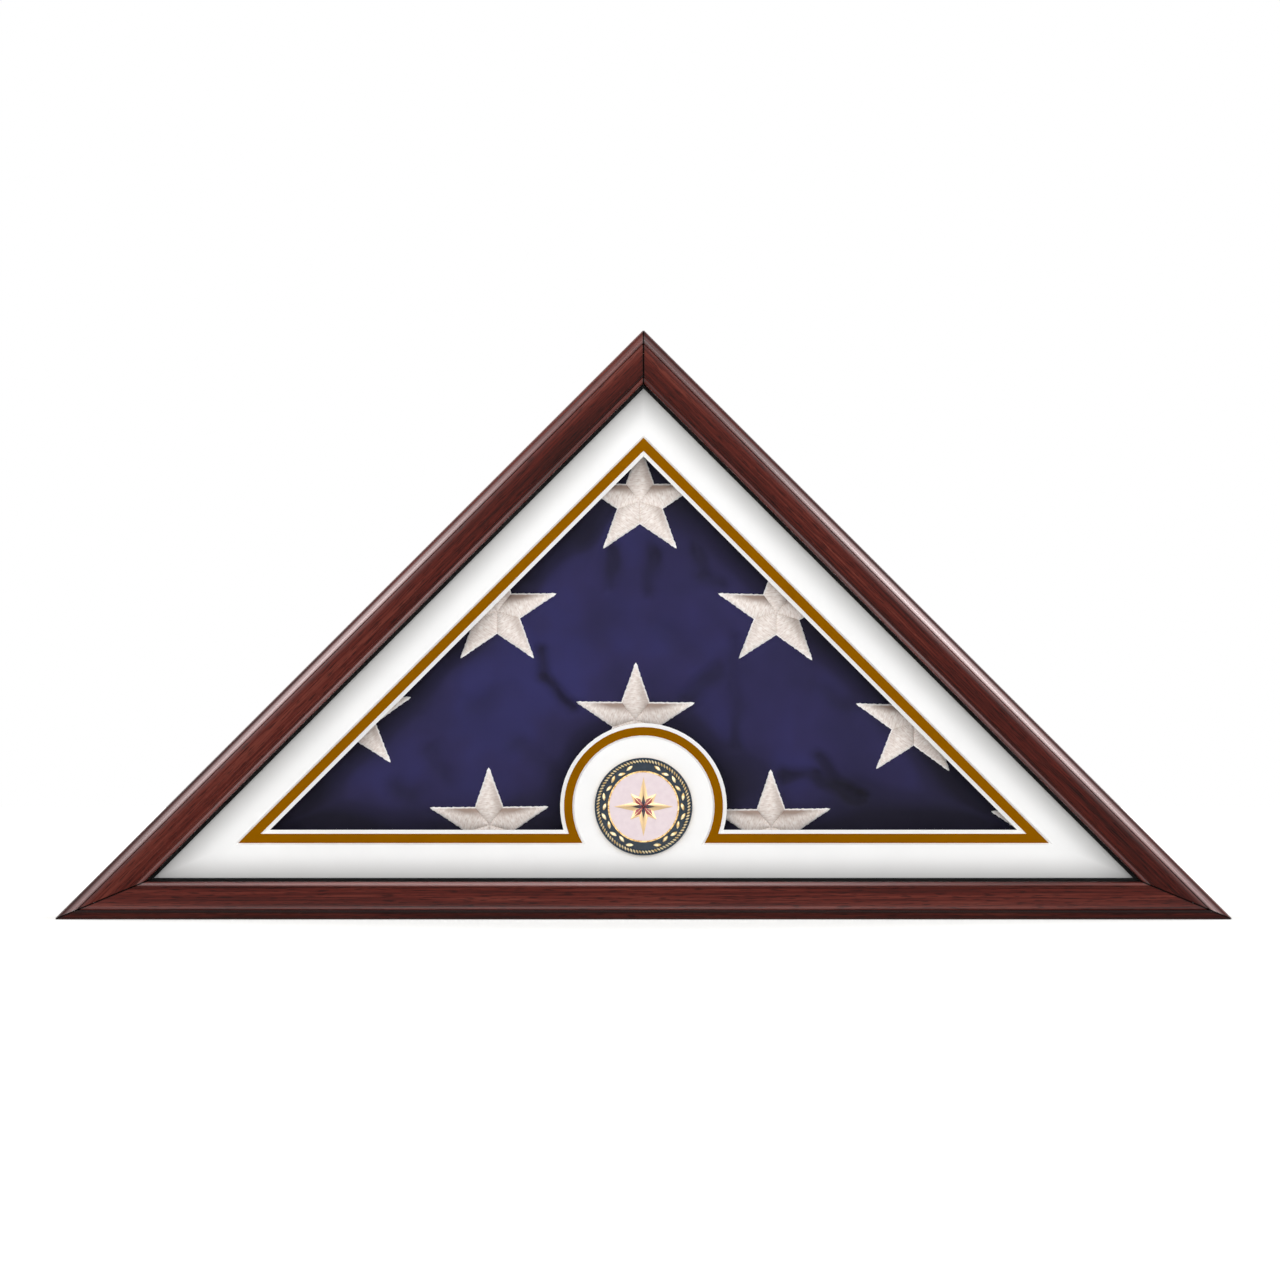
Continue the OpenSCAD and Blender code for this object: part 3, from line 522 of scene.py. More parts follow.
def paint_frame_shade(material, shade, first, last):
    """Paints shade on a board towards the frame, where the recess in front of it shades it: all at the inset
    first and none at the inset last, in mm. The inset is the lesser of z and (height - z) cos(slope) - |x|
    sin(slope)."""
    tree = material.node_tree
    skin = tree.nodes["Principled BSDF"]
    where = add_node(tree, "TexCoord").outputs["Object"]
    at = add_node(tree, "SeparateXYZ", {"Vector": where}).outputs
    wide = add_node(tree, "Math", {0: at["X"]}, operation="ABSOLUTE")
    fall = {0: wide, 1: -math.sin(SLOPE), 2: CASE_H * MM * math.cos(SLOPE)}
    fall = add_node(tree, "Math", fall, operation="MULTIPLY_ADD")
    side = add_node(tree, "Math", {0: at["Z"], 1: -math.cos(SLOPE), 2: fall}, operation="MULTIPLY_ADD")
    inset = add_node(tree, "Math", {0: at["Z"], 1: side}, operation="MINIMUM")
    amount = {"Value": inset, "From Min": last * MM, "From Max": first * MM}
    amount = add_node(tree, "MapRange", amount, interpolation_type="SMOOTHSTEP")
    paper = skin.inputs["Base Color"].links[0].from_socket
    shaded_paper = add_node(tree, "Mix", {0: amount, 6: paper, 7: colour(shade)}, data_type="RGBA")
    feed(tree, skin, {"Base Color": shaded_paper.outputs[2]})


mat_face = board("white_mat_board_smooth", "#ffffff", "#fcfcfc", 0.8, 0.85, 0.12)
# painted shade on the white mat along the frame, where the recess shades it
paint_frame_shade(mat_face, "#cfcfce", 20.0, 38.0)
dress(mat_face, "top_mat")
dress(board("gold_facing_paper_dull", "#8f5a00", "#8b5700", 0.7, 0.9, 0.05, gloss=0.0), "under_mat_facing")
dress(board("white_pulp_core_cut", "#ffffff", "#fdfcfa", 0.9, 0.9, 0.2), "under_mat_core")
dress(board("black_polystyrene_strip_extruded", "#0a0908", "#0e0c0b", 3.0, 0.6, 0.02),
      "spacer_bottom", "spacer_left", "spacer_right")

# %% [markdown]
# ## The folded flag
# A flag folded to a triangle is a soft bundle: its face crowns a little, falls away behind the
# mat, and has a few slack creases. The face is one depth function of x and z, which the stars
# follow too. A profile from the middle of the face over the edge to the middle of the back is
# carried round the triangle.

# %% Shape of the flag's face
flag_low, flag_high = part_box("folded_flag")
FLAG_FRONT, FLAG_BACK = flag_low.y / MM - FRONT, flag_high.y / MM - FRONT
FLAG_IN, FLAG_ROLL = 18.9, 7.0  # mm: the bundle's inset and the roundness of its edges
ROLL_IN = FLAG_IN + FLAG_ROLL
WINDOW_IN, TONGUE_R, TONGUE_Z = 49.9, 46.8, 63.0
FALL = 8.0  # mm that the face falls back from its crown to behind the mat
MAT_STEP, TONGUE_STEP = (8, 5.2), (5, 6.0)  # mm from the paper's edge to the fall's middle, and its width
# creases: from x, z to x, z, then width and depth, in mm
CREASES = np.array([
    [-18.5, 206, -18.0, 186, 4.2, 3.4], [4.4, 206, 3.8, 186, 4.0, 3.4], [28.5, 206, 33.5, 192, 3.4, 3.6],
    [33.5, 192, 45.0, 186, 3.2, 3.8], [-57.5, 150, -55.0, 136, 3.0, 4.6], [-55.0, 136, -41.0, 120, 2.6, 5.4],
    [24.5, 124, 44.0, 138, 4.4, 3.0], [50.5, 158, 52.0, 97, 3.4, 2.4], [-118, 92, -111, 80, 5.0, 3.4],
    [-140, 76, -131, 69, 5.0, 3.2], [80, 80, 98, 78, 3.4, 3.6], [98, 78, 120, 70, 3.8, 5.0],
    [99, 91, 107, 76, 3.2, 3.6], [-95, 120, -80, 128, 6.5, 2.0], [-30, 160, -18, 172, 8.0, 1.8],
    [95, 130, 112, 120, 6.5, 2.2], [-70, 96, -50, 84, 6.5, 2.4], [10, 165, 22, 150, 7.0, 1.6],
    [-34, 212, -20, 228, 5.0, 2.4]])
CREASE_SPREAD = 1.2  # a crease's Gaussian as a share of its width
# slack hollows: x, z, radius and depth, in mm
HOLLOWS = np.array([
    [160, 57, 38, 4.0], [112, 66, 24, 1.9], [62, 78, 20, 3.5], [2, 236, 26, 3.5], [-186, 52, 26, 2.4],
    [-62, 64, 16, 2.2], [26, 122, 16, 1.8], [86, 140, 18, 1.5], [-104, 74, 14, 1.2], [-118, 108, 16, 1.4]])
# slow waves: length in mm, direction, phase and height in mm
rng = np.random.default_rng(11)
WAVES = np.stack([rng.uniform(38, 95, 7), rng.uniform(0, math.pi, 7), rng.uniform(0, math.tau, 7),
                  rng.uniform(0.18, 0.42, 7)])[:, :, None]


def step_back(distance, middle, width):
    """A logistic step of the face: 0 at a distance well past the middle, and FALL well short of it."""
    return FALL / (1 + np.exp((distance - middle) / width))


def crease_depth(x, z):
    """Cube root of the summed cubes of a Gaussian of the distance to each crease's line. Sines bend the lines
    and make the folds a little deeper and shallower on the way."""
    start, end = CREASES[:, None, :2], CREASES[:, None, 2:4]
    bent_x = x + 1.1 * np.sin(z / 7.1 + 1.0) + 0.7 * np.sin(x / 3.7 + z / 4.3)
    bent_z = z + 1.6 * np.sin(x / 8.3) + 0.8 * np.sin(x / 4.1 - z / 3.3)
    point = np.stack([bent_x, bent_z], -1)
    along = np.clip(((point - start) * (end - start)).sum(-1) / ((end - start) ** 2).sum(-1), 0, 1)
    away = np.linalg.norm(point - start - along[..., None] * (end - start), axis=-1)
    folds = CREASES[:, None, 5] * np.exp(-(away / (CREASE_SPREAD * CREASES[:, None, 4])) ** 2)
    return (folds ** 3).sum(0) ** (1 / 3) * (0.85 + 0.15 * np.sin(x / 5.3 + z / 6.7))


def face_fall(x, z):
    """Depth of the cloth behind its crown, never less than 0: steps at the mat's edge and at the tongue,
    creases, round hollows (a Gaussian of the distance to each middle) and slow waves."""
    grid, (x, z) = x.shape, (x.ravel(), z.ravel())
    at_mat = step_back(inset_of(x, z) - WINDOW_IN, *MAT_STEP)
    at_tongue = step_back(np.hypot(x, z - TONGUE_Z) - TONGUE_R, *TONGUE_STEP)
    fall = (at_mat ** 4 + at_tongue ** 4) ** 0.25 + crease_depth(x, z)
    length, turn, phase, height = WAVES
    across = x * np.cos(turn) + z * np.sin(turn)
    fall = fall + (height * (1 + np.sin(math.tau * across / length + phase))).sum(0)
    for at_x, at_z, radius, depth in HOLLOWS:
        fall = fall + depth * np.exp(-((x - at_x) ** 2 + (z - at_z) ** 2) / radius ** 2)
    return fall.reshape(grid)


print(f"{len(CREASES)} creases and {len(HOLLOWS)} hollows")

# %% Cotton
# Navy cotton bunting, plain woven and dyed in the piece: dull, a little brighter where the nap stands.
# The real threads are 0.35 mm apart; the weave is drawn at 2 mm so that it shows close by.
WEAVE_SCALE = 160.0
cotton, tree, skin = start_material(
    "navy_cotton_woven", "#36325a", Roughness=0.92, Specular_IOR_Level=0.12, Sheen_Weight=0.08,
    Sheen_Roughness=0.5)
where = add_node(tree, "TexCoord").outputs["Object"]
patches = add_node(tree, "TexNoise", {"Vector": where, "Scale": 22.0, "Detail": 2.0})
dye = [(0.36, "#2f2c50"), (0.5, "#332f58"), (0.64, "#353363")]
shade = add_node(tree, "ValToRGB", {"Fac": patches}, dye)
# painted shade: the dye is darkened where the face falls back from its crown, into creases and hollows and
# behind the mat
cloth_shade = add_node(tree, "Attribute", attribute_name="painted_cloth_shade").outputs["Fac"]
for low, high, shaded_dye in ((0.0, 0.5, "#2a2744"), (0.35, 1.0, "#22202f")):
    amount = add_node(tree, "MapRange", {"Value": cloth_shade, "From Min": low, "From Max": high})
    shade = add_node(tree, "Mix", {0: amount, 6: shade, 7: colour(shaded_dye)}, data_type="RGBA").outputs[2]
bands = {"Vector": where, "Scale": WEAVE_SCALE, "Distortion": 0.6}
warp, weft = (add_node(tree, "TexWave", bands, bands_direction=way).outputs["Fac"] for way in "XZ")
weave = add_node(tree, "Math", {0: warp, 1: weft}, operation="ADD")
relief = add_node(tree, "Bump", {"Height": weave, "Strength": 0.05, "Distance": 0.00015})
feed(tree, skin, {"Base Color": shade, "Normal": relief})

# %% The bundle
AROUND, CORNER_R = 540, 12.0  # points round the bundle and the radius of its corners
POLE_GAP = 1.5  # mm from the innermost rings to the middle
LAYER_T = 3.4  # mm from layer to layer down the sides
FULL_SHADE_MM, SIDE_SHADE_MM = 9.0, 20.0  # mm: the fall at which the painted shade is full, and the depth down the side over which it would fade, though 0.4 of it stays
FLAP_IN, FLAP_T, FLAP_EDGE = 74.0, 1.5, 0.8  # mm: the flap's inset from the slope, thickness, edge
SAG = 0.4  # mm


def rounded_outline():
    """x and z round the outline, evenly spaced, with each corner an arc about the corner of the outline moved
    in by the radius."""
    at, tilt = corners_at(CORNER_R), math.degrees(SLOPE)
    turns = {"left": (90 + tilt, 270), "right": (270, 450 - tilt), "peak": (90 - tilt, 90 + tilt)}
    line = np.concatenate([at[name] + ray(CORNER_R, np.radians(np.linspace(first, last, 24)))
                           for name, (first, last) in turns.items()])
    line = np.concatenate([line, line[:1]])
    run = run_along(line)
    even = np.linspace(0, run[-1], AROUND, endpoint=False)
    return [np.interp(even, run, line[:, k]) for k in (0, 1)]


def bundle(front_rings=96, roll_rings=12, side_rings=40, back_rings=24):
    """Rings of the outline shrunk towards its heart: face, rolled edge, layered side, rolled edge, back.
    The layers are shallow ripples, and the tucked flap is a logistic step."""
    rolled_out = 1 - np.sin(np.linspace(0, math.pi / 2, roll_rings))
    rolled_back = 1 - np.cos(np.linspace(0, math.pi / 2, roll_rings))
    side = np.linspace(FLAG_FRONT + FALL + FLAG_ROLL, FLAG_BACK - FLAG_ROLL, side_rings + 2)[1:-1]
    inset = np.concatenate([
        np.linspace(HEART - POLE_GAP, ROLL_IN, front_rings), FLAG_IN + FLAG_ROLL * rolled_out[1:],
        np.full(side_rings, FLAG_IN), FLAG_IN + FLAG_ROLL * rolled_back,
        np.linspace(ROLL_IN, HEART - POLE_GAP, back_rings)[1:]])[:, None]
    depth = np.concatenate([
        np.zeros(front_rings), FLAG_ROLL * rolled_back[1:], side, FLAG_BACK - FLAG_ROLL * rolled_out,
        np.full(back_rings - 1, FLAG_BACK)])[:, None]
    on_face = np.arange(len(inset))[:, None] < front_rings + roll_rings - 1
    x, z = drawn_in(*rounded_outline(), 1 - inset / HEART)
    layers = 0.5 * (1 + np.cos(math.tau * depth / LAYER_T)) * (~on_face & (inset <= FLAG_IN + 1))
    x, z = x - layers * x / CASE_W * 2, z + layers * (HEART - z) / HEART
    fall = face_fall(x, z)
    # the last flap is tucked in along the right slope, so the rest of the back lies deeper, and both sag
    layer = FLAP_T / (1 + np.exp((FLAP_IN - from_slope(x, z)) / FLAP_EDGE))
    layer = layer + SAG * (1 + np.sin(x / 31) * np.sin(z / 23 + x / 57))
    layer = layer * np.clip((inset - FLAG_IN) / FLAG_ROLL, 0, 1) * (depth > FLAG_BACK - FLAG_ROLL)
    y = np.where(on_face, FLAG_FRONT + fall + depth, depth - layer)
    # painted shade: darker where the face falls back into creases, hollows and behind the mat, and less so
    # down the sides
    painted_cloth_shade = np.clip(fall / FULL_SHADE_MM, 0, 1) ** 1.5 * np.clip(1 - depth / SIDE_SHADE_MM, 0.4, 1)
    return np.stack([x, y, z], -1)[None], {"painted_cloth_shade": painted_cloth_shade}


flag_grid, flag_marks = bundle()
flag = make_piece("flag_bundle", wrapped(flag_grid), cotton, marks=flag_marks, sharp=80)
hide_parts("folded_flag")

# %% [markdown]
# ## Embroidered stars
# Each star is five kites of satin stitch over padding, sewn with a seam from the middle to each
# notch. A kite is a square grid pulled to its four corners and puffed between them, and it lies
# on the flag's face by the same depth function. The thread runs across each arm, so the UV map
# gives real lengths along and across the arm.

# %% Satin stitch
# White rayon thread, machine stitched: bright along the sewn edge, with a grey-beige painted shade on
# the side of an arm that faces away from the light. Threads are 0.4 mm apart on the real one and drawn at 0.6
# mm.
thread, tree, skin = start_material(
    "rayon_thread_satin_stitch", "#efe6e2", Roughness=0.55, Specular_IOR_Level=0.3, Sheen_Weight=0.15,
    Sheen_Roughness=0.4)
where = add_node(tree, "TexCoord").outputs["UV"]
layers = []
for scale in ((1600, 300, 1), (480, 400, 1)):
    drawn_out = add_node(tree, "Mapping", {"Vector": where, "Scale": scale})
    layers.append(add_node(tree, "TexNoise", {"Vector": drawn_out, "Scale": 1.0, "Detail": 2.0}))
strands, clumps = layers
both = add_node(tree, "Mix", {0: 0.4, 2: strands, 3: clumps})
pale = [(0.36, "#dacbc2"), (0.5, "#eee3dc"), (0.62, "#fbf4ef")]
shade = add_node(tree, "ValToRGB", {"Fac": both}, pale)
# the first mark is painted shade, grey-beige where an arm's side faces away from the light
for mark, marked in (("painted_thread_shade", "#a08b80"), ("rim", "#fffdfb")):
    amount = add_node(tree, "Attribute", attribute_name=mark).outputs["Fac"]
    shade = add_node(tree, "Mix", {0: amount, 6: shade, 7: colour(marked)}, data_type="RGBA").outputs[2]
relief = add_node(tree, "Bump", {"Height": both, "Strength": 0.35, "Distance": 0.0003})
feed(tree, skin, {"Base Color": shade, "Normal": relief})

# %% Plan of a star
STAR_R, STAR_H, STAR_EDGE = 35.3, 1.6, 0.45  # mm: to a point, thickness at the crown and at the edge
NOTCH = 0.382  # a five-pointed star's notch radius as a share of its point radius
STAR_RAGGED, STAR_BLUNT = 0.13, 0.5  # mm: how far the stitches' ends wander, and half a point's width


def kite_plan(a, b):
    """Five kites round a star, in mm from its middle, with their UV: a kite's point is the bilinear blend of
    middle, notch, tip and notch. The two outer edges wander by sums of sines, as the ends of stitches do,
    and the points are blunt."""
    turn = np.radians(90 + 72 * np.arange(5))[:, None, None]
    notch_a, notch_b = (ray(STAR_R * NOTCH, turn + hand * math.pi / 5) for hand in (-1, 1))
    tip, share_a, share_b = ray(STAR_R - 0.3, turn), a[..., None], b[..., None]
    flat = share_a * (1 - share_b) * notch_a + share_a * share_b * tip + (1 - share_a) * share_b * notch_b
    for edge, along, over, hand in ((tip - notch_a, b, a, 1), (tip - notch_b, a, b, -1)):
        outward = hand * np.stack([edge[..., 1], -edge[..., 0]], -1)
        outward = outward / np.linalg.norm(edge, axis=-1, keepdims=True)
        stitch = 1.2 + np.sin(math.tau * (9.3 * along + turn))
        stitch = stitch + 0.9 * np.sin(math.tau * (6.1 * along + 3 * turn))
        held = over ** 5 * np.clip(along / 0.15, 0, 1) * np.clip((1 - along) / 0.1, 0, 1)
        flat = flat + (STAR_RAGGED * stitch * held)[..., None] * outward
    axis, across = ray(1.0, turn), ray(1.0, turn + math.pi / 2)
    flat = flat + (STAR_BLUNT * np.clip((b - a) * 14, -1, 1) * np.minimum(a, b) ** 9)[..., None] * across
    return flat, np.stack([(flat * axis).sum(-1), (flat * across).sum(-1)], -1) * MM


# %% Laying a plan on the cloth
def laid_on_flag(x, z):
    """Where points of a flat plan lie on the cloth, and the share of their height that is left there. A point
    past the inset ROLL_IN folds round the edge: it turns by its distance past it over FLAG_ROLL, up to a
    right angle, and keeps its distance along the cloth."""
    inset = inset_of(x, z)
    over = np.clip(ROLL_IN - inset, 0, None)
    bend = np.clip(over / FLAG_ROLL, 0, math.pi / 2)
    pull = over - FLAG_ROLL * np.sin(bend)
    share = np.where(over > 0, (1 - (inset + pull) / HEART) / (1 - inset / HEART), 1.0)
    x, z = drawn_in(x, z, share)
    back = FLAG_FRONT + face_fall(x, z)
    back = back + FLAG_ROLL * (1 - np.cos(bend)) + np.clip(over - FLAG_ROLL * math.pi / 2, 0, None)
    return x, z, back, np.clip(1 - bend, 0.1, 1)


# %% Sewn stars
STAR_LIE, STAR_SUNK = 0.925, 0.15  # height as a share of the width on the eased cloth, and mm into the cloth
RIM_AT, RIM_W, PUFF = 0.93, 0.05, 0.45  # as shares: where the pale rim starts, its ramp, and the puff's power
# how much painted shade lies beside each arm's two outer edges, where its threads lean out of the light:
# clockwise side, then the other.
# The arms are the top one, the left one and so on round. Light comes from below the arms that lie across.
THREAD_SHADE = np.array([[0.5, 0.12], [1.0, 0.0], [0.2, 0.1], [0.1, 0.45], [0.0, 1.0]])
ROWS, ROW, HALF_PITCH, TOP, STAR_X, LEAN = 4, 61.3, 78.7, 96.0, -2.0, -1.8
# how the cloth was eased at each star: moved in x and z in mm, and turned in degrees
EASED = np.array([[0, 0, 0], [0.3, -0.3, 0], [0, -1, -1.5], [-0.6, 1.8, 2], [1, 0, -0.5], [0.5, -1.8, -2],
                  [0, 1, 0], [-0.5, 2.4, 0.5], [0.4, 1.2, 0.5], [0, 0, 0]])


def kites(centres, turns, cells=24):
    """The stars' kites between the cloth and their puffed faces: the height of a point is
    edge + puff (16 a (1 - a) b (1 - b)) ** PUFF. The rim's mark is a band along the outer edges, and the
    painted shade rises from the arm's axis to an outer edge by the threads' lean out of the light there."""
    a, b = np.meshgrid(np.linspace(0, 1, cells), np.linspace(0, 1, cells), indexing="ij")
    flat, uv = kite_plan(a, b)
    seam = np.minimum(a, b)  # 0 on the two seams, 1 at the tip
    outer = np.maximum(a, b)  # 1 on the two outer edges
    height = STAR_EDGE * np.clip(seam * 9, 0.35, 1)
    height = height + (STAR_H - STAR_EDGE) * (16 * a * (1 - a) * b * (1 - b)) ** PUFF
    rim = np.clip((outer - RIM_AT) / RIM_W, 0, 1) * np.ones((5, 1, 1))
    late, early = (THREAD_SHADE[:, None, None, k] for k in (1, 0))
    # painted shade beside the outer edge of an arm that lies away from the light
    painted_thread_shade = late * np.clip((b - a) * 2.2, 0, 1) + early * np.clip((a - b) * 2.2, 0, 1)
    painted_thread_shade = painted_thread_shade * np.clip((outer - 0.3) / 0.5, 0, 1) * (1 - rim)
    cos, sin = (turned[:, None, None, None] for turned in (np.cos(turns), np.sin(turns)))
    x = centres[:, 0, None, None, None] + (flat[..., 0] * cos - flat[..., 1] * sin)
    z = centres[:, 1, None, None, None] + (flat[..., 0] * sin + flat[..., 1] * cos) * STAR_LIE
    x, z, back, thin = laid_on_flag(x, z)
    front, foot = (np.stack([x, y, z], -1).reshape(-1, cells, cells, 3)
                   for y in (back - height * thin, back + STAR_SUNK))
    rim, painted_thread_shade = (np.tile(values, (2 * len(centres), 1, 1)) for values in (rim, painted_thread_shade))
    return between(front, foot, np.tile(uv, (len(centres), 1, 1, 1))), {"rim": rim, "painted_thread_shade": painted_thread_shade}


star_places = np.array([[STAR_X + row * LEAN + (2 * k - row) * HALF_PITCH, CASE_H - TOP - row * ROW]
                        for row in range(ROWS) for k in range(row + 1)])
star_shape, star_marks = kites(star_places + EASED[:, :2], np.radians(EASED[:, 2]))
stars = make_piece("sewn_stars", star_shape, thread, marks=star_marks, sharp=70)
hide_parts("flag_stars")
print(f"{len(star_places)} stars")

# %% [markdown]
# ## Metals and enamels
# The medallion is struck brass, antiqued so that the recesses stay brown, with enamel fired into
# its ring and field. Plated steel, zinc and brass hardware differ in colour and in how the plating
# was finished, so one function makes them from a colour, a roughness and the size of their mottle.


# %% Metal and enamel
def metal(name, shade, tarnish, roughness, mottle_mm):
    """A metal: bare shade and tarnish mixed in spots of mottle_mm, with roughness that follows."""
    material, tree, skin = start_material(name, shade, Metallic=1.0, Roughness=roughness)
    where = add_node(tree, "TexCoord").outputs["Object"]
    spots = add_node(tree, "TexNoise", {"Vector": where, "Scale": 1 / (mottle_mm * MM), "Detail": 4.0})
    blended = add_node(tree, "ValToRGB", {"Fac": spots}, [(0.38, tarnish), (0.56, shade)])
    dull = {"Value": spots, "To Min": roughness + 0.12, "To Max": roughness - 0.06}
    feed(tree, skin, {"Base Color": blended, "Roughness": add_node(tree, "MapRange", dull)})
    return material


def enamel(name, shade, other):
    """Fired glass enamel: a smooth coat over a colour that varies a little with its thickness."""
    material, tree, skin = start_material(
        name, shade, Roughness=0.3, Specular_IOR_Level=0.2, Coat_Weight=0.25, Coat_Roughness=0.08)
    where = add_node(tree, "TexCoord").outputs["Object"]
    clouds = add_node(tree, "TexNoise", {"Vector": where, "Scale": 300.0, "Detail": 2.0})
    depth = add_node(tree, "ValToRGB", {"Fac": clouds}, [(0.35, shade), (0.65, other)])
    feed(tree, skin, {"Base Color": depth})
    return material


rope_brass = metal("brass_rope_polished", "#fbe9c0", "#d8b67c", 0.3, 2.5)
brass_plate = metal("steel_brass_plated", "#cba95f", "#bb984e", 0.32, 1.2)
zinc = metal("steel_zinc_plated", "#b4b4af", "#a6a6a1", 0.38, 1.5)
dress(metal("brass_struck_antiqued", "#ecca90", "#a97f48", 0.36, 1.2), "medallion_disc")
dress(enamel("enamel_blue_grey_fired", "#202c38", "#263441"), "medallion_dark_ring")
dress(enamel("enamel_pale_rose_fired", "#eedfe3", "#e9d9de"), "medallion_field")
dress(zinc, "mitre_nails", "keyhole_screws")
dress(brass_plate, "turn_button_screws")

# %% [markdown]
# ## Medallion relief
# A rope borders the dark ring, laurel branches lie in it, and a compass rose stands on
# the pale field. On a struck medallion the rope's turns are slanted lenses and the leaves are
# longer ones with a groove down the midrib, so one function makes both. Every point of the rose
# has two facets that meet on a ridge, enamelled inside a rim of bare metal.

# %% Lenses
MAT_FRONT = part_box("top_mat")[0].y / MM - FRONT
ENAMEL_H = 2.1  # mm from the mat's face to the enamel's face
SUNK = 0.05  # mm that a relief goes into the enamel


def struck(x, z, crown, uv=None):
    """Solids on the medallion's enamel, from its middle: right, up and raised by the crown, in mm."""
    heights = ENAMEL_H + crown, np.full(x.shape, ENAMEL_H - SUNK)
    return between(*(np.stack([x, MAT_FRONT - height, TONGUE_Z + z], -1) for height in heights), uv)


def lenses(angle, out, lean, length, width, crown_h, groove_h, cells=9):
    """Raised lenses: half width is width/2 sin(pi a) ** 0.8, height a crown with a groove along the middle.
    Each has its middle at (angle, out) round the medallion and its length turned by lean."""
    a, b = np.meshgrid(np.linspace(0.03, 0.97, cells), np.linspace(-1, 1, cells), indexing="ij")
    along, across = (a - 0.5) * length, b * width / 2 * np.sin(math.pi * a) ** 0.8
    crown = crown_h * (1 - b ** 2) * np.sin(math.pi * a) ** 0.5 - groove_h * np.exp(-(b / 0.22) ** 2) + 0.1
    angle, out, lean = (np.broadcast_to(v, np.shape(angle))[:, None, None] for v in (angle, out, lean))
    x = out * np.cos(angle) + along * np.cos(lean) - across * np.sin(lean)
    z = out * np.sin(angle) + along * np.sin(lean) + across * np.cos(lean)
    return x, z, np.broadcast_to(crown, x.shape)


# %% Rope
ROPE_R, STRANDS, STRAND_LEAN = 25.5, 92, 40.0
turn = math.tau * np.arange(STRANDS) / STRANDS
strands = lenses(turn, ROPE_R, turn + math.radians(STRAND_LEAN), length=2.5, width=1.15, crown_h=0.5,
                 groove_h=0, cells=7)
piece = make_piece("rope_border", struck(*strands), rope_brass, sharp=80)
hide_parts("medallion_rope")

# %% Laurel
LEAVES, LEAF_L, LEAF_W, LEAF_H, MIDRIB = 11, 4.5, 2.0, 0.42, 0.16  # on each branch, and mm
LEAF_LEAN, LEAF_FREE = 18.0, 20.0  # degrees that a leaf turns off the branch, and free at the branch's ends
LAUREL_R, LEAF_OUT = 22.35, 0.5  # mm: the branch's radius, and how far the leaves lie to both sides of it
number = np.arange(LEAVES)
angle = np.radians(-90 + LEAF_FREE + number * (180 - 2 * LEAF_FREE) / (LEAVES - 1))
outward = np.where(number % 2 == 0, 1, -1)
lean = angle + np.radians(90 - LEAF_LEAN * outward)
right = lenses(angle, LAUREL_R + LEAF_OUT * outward, lean, LEAF_L, LEAF_W, LEAF_H, MIDRIB)
leaves = [np.concatenate([part, sign * part[:, :, ::-1]]) for part, sign in zip(right, (-1, 1, 1))]
piece = make_piece("laurel_branches", struck(*leaves), rope_brass, sharp=60)
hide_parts("medallion_laurel")


# %% Compass rose
def facets(reach, notch, first, step, ridge_h, cells=10):
    """Facets of star points: each is a triangle of middle, tip and notch, with its ridge high and its outer
    edge low. The UV map runs from the middle out and from the ridge to the edge."""
    a, b = np.meshgrid(np.linspace(0.04, 1, cells), np.linspace(0, 1, cells), indexing="ij")
    centre = np.radians(first + step * np.arange(int(360 / step)))
    made = []
    for hand in (-1, 1):
        tip = ray(reach, centre)[:, None, None]
        nick = ray(notch, centre + hand * math.radians(step / 2))[:, None, None]
        flat = a[..., None] * ((1 - b[..., None]) * tip + b[..., None] * nick)
        height = np.broadcast_to(0.15 + ridge_h * (1 - b) * (1 - 0.8 * a), flat.shape[:3])
        uv = np.broadcast_to(np.stack([a, b], -1), flat.shape)
        made.append([part[:, :, ::hand] for part in (flat[..., 0], flat[..., 1], height, uv)])
    return struck(*(np.concatenate(pair) for pair in zip(*made)))


def cloisonne(name, shade, reach):
    """Enamel inside a rim of bare metal, which the UV map's edges mark: it runs out to the share reach of the
    facet."""
    material, tree, skin = start_material(name, shade, Roughness=0.28, Coat_Weight=0.3, Coat_Roughness=0.1)
    where = add_node(tree, "TexCoord").outputs["UV"]
    parts, bare = add_node(tree, "SeparateXYZ", {"Vector": where}).outputs, 0.0
    for axis, low, high in (("X", reach, reach + 0.04), ("Y", 0.14, 0.1), ("Y", 0.78, 0.84)):
        past = add_node(tree, "MapRange", {"Value": parts[axis], "From Min": low, "From Max": high})
        bare = add_node(tree, "Math", {0: bare, 1: past}, operation="MAXIMUM")
    blend = add_node(tree, "Mix", {0: bare, 6: colour(shade), 7: colour("#dcbd90")}, data_type="RGBA")
    feed(tree, skin, {"Base Color": blend.outputs[2], "Metallic": bare})
    return material


ROSE_POINTS = [  # name, reach, notch, first angle, step, ridge height, enamel and how far it reaches
    ("rose_short_points", 10.2, 4.6, 45.0, 90.0, 0.5, "#a53a40", 0.74),
    ("rose_long_points", 16.5, 4.2, 0.0, 90.0, 0.9, "#27364a", 0.4)]
for name, reach, notch, first, step, ridge_h, shade, enamelled in ROSE_POINTS:
    fired = cloisonne("cloisonne_" + name, shade, enamelled)
    piece = make_piece(name, facets(reach, notch, first, step, ridge_h), fired, sharp=20)
    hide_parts("medallion_rose")


# %% [markdown]
# ## Turned and moulded pieces
# The foam pad behind the medallion and the rubber bumpers on the back are round, so their profile
# is carried round an axis that runs front to back.

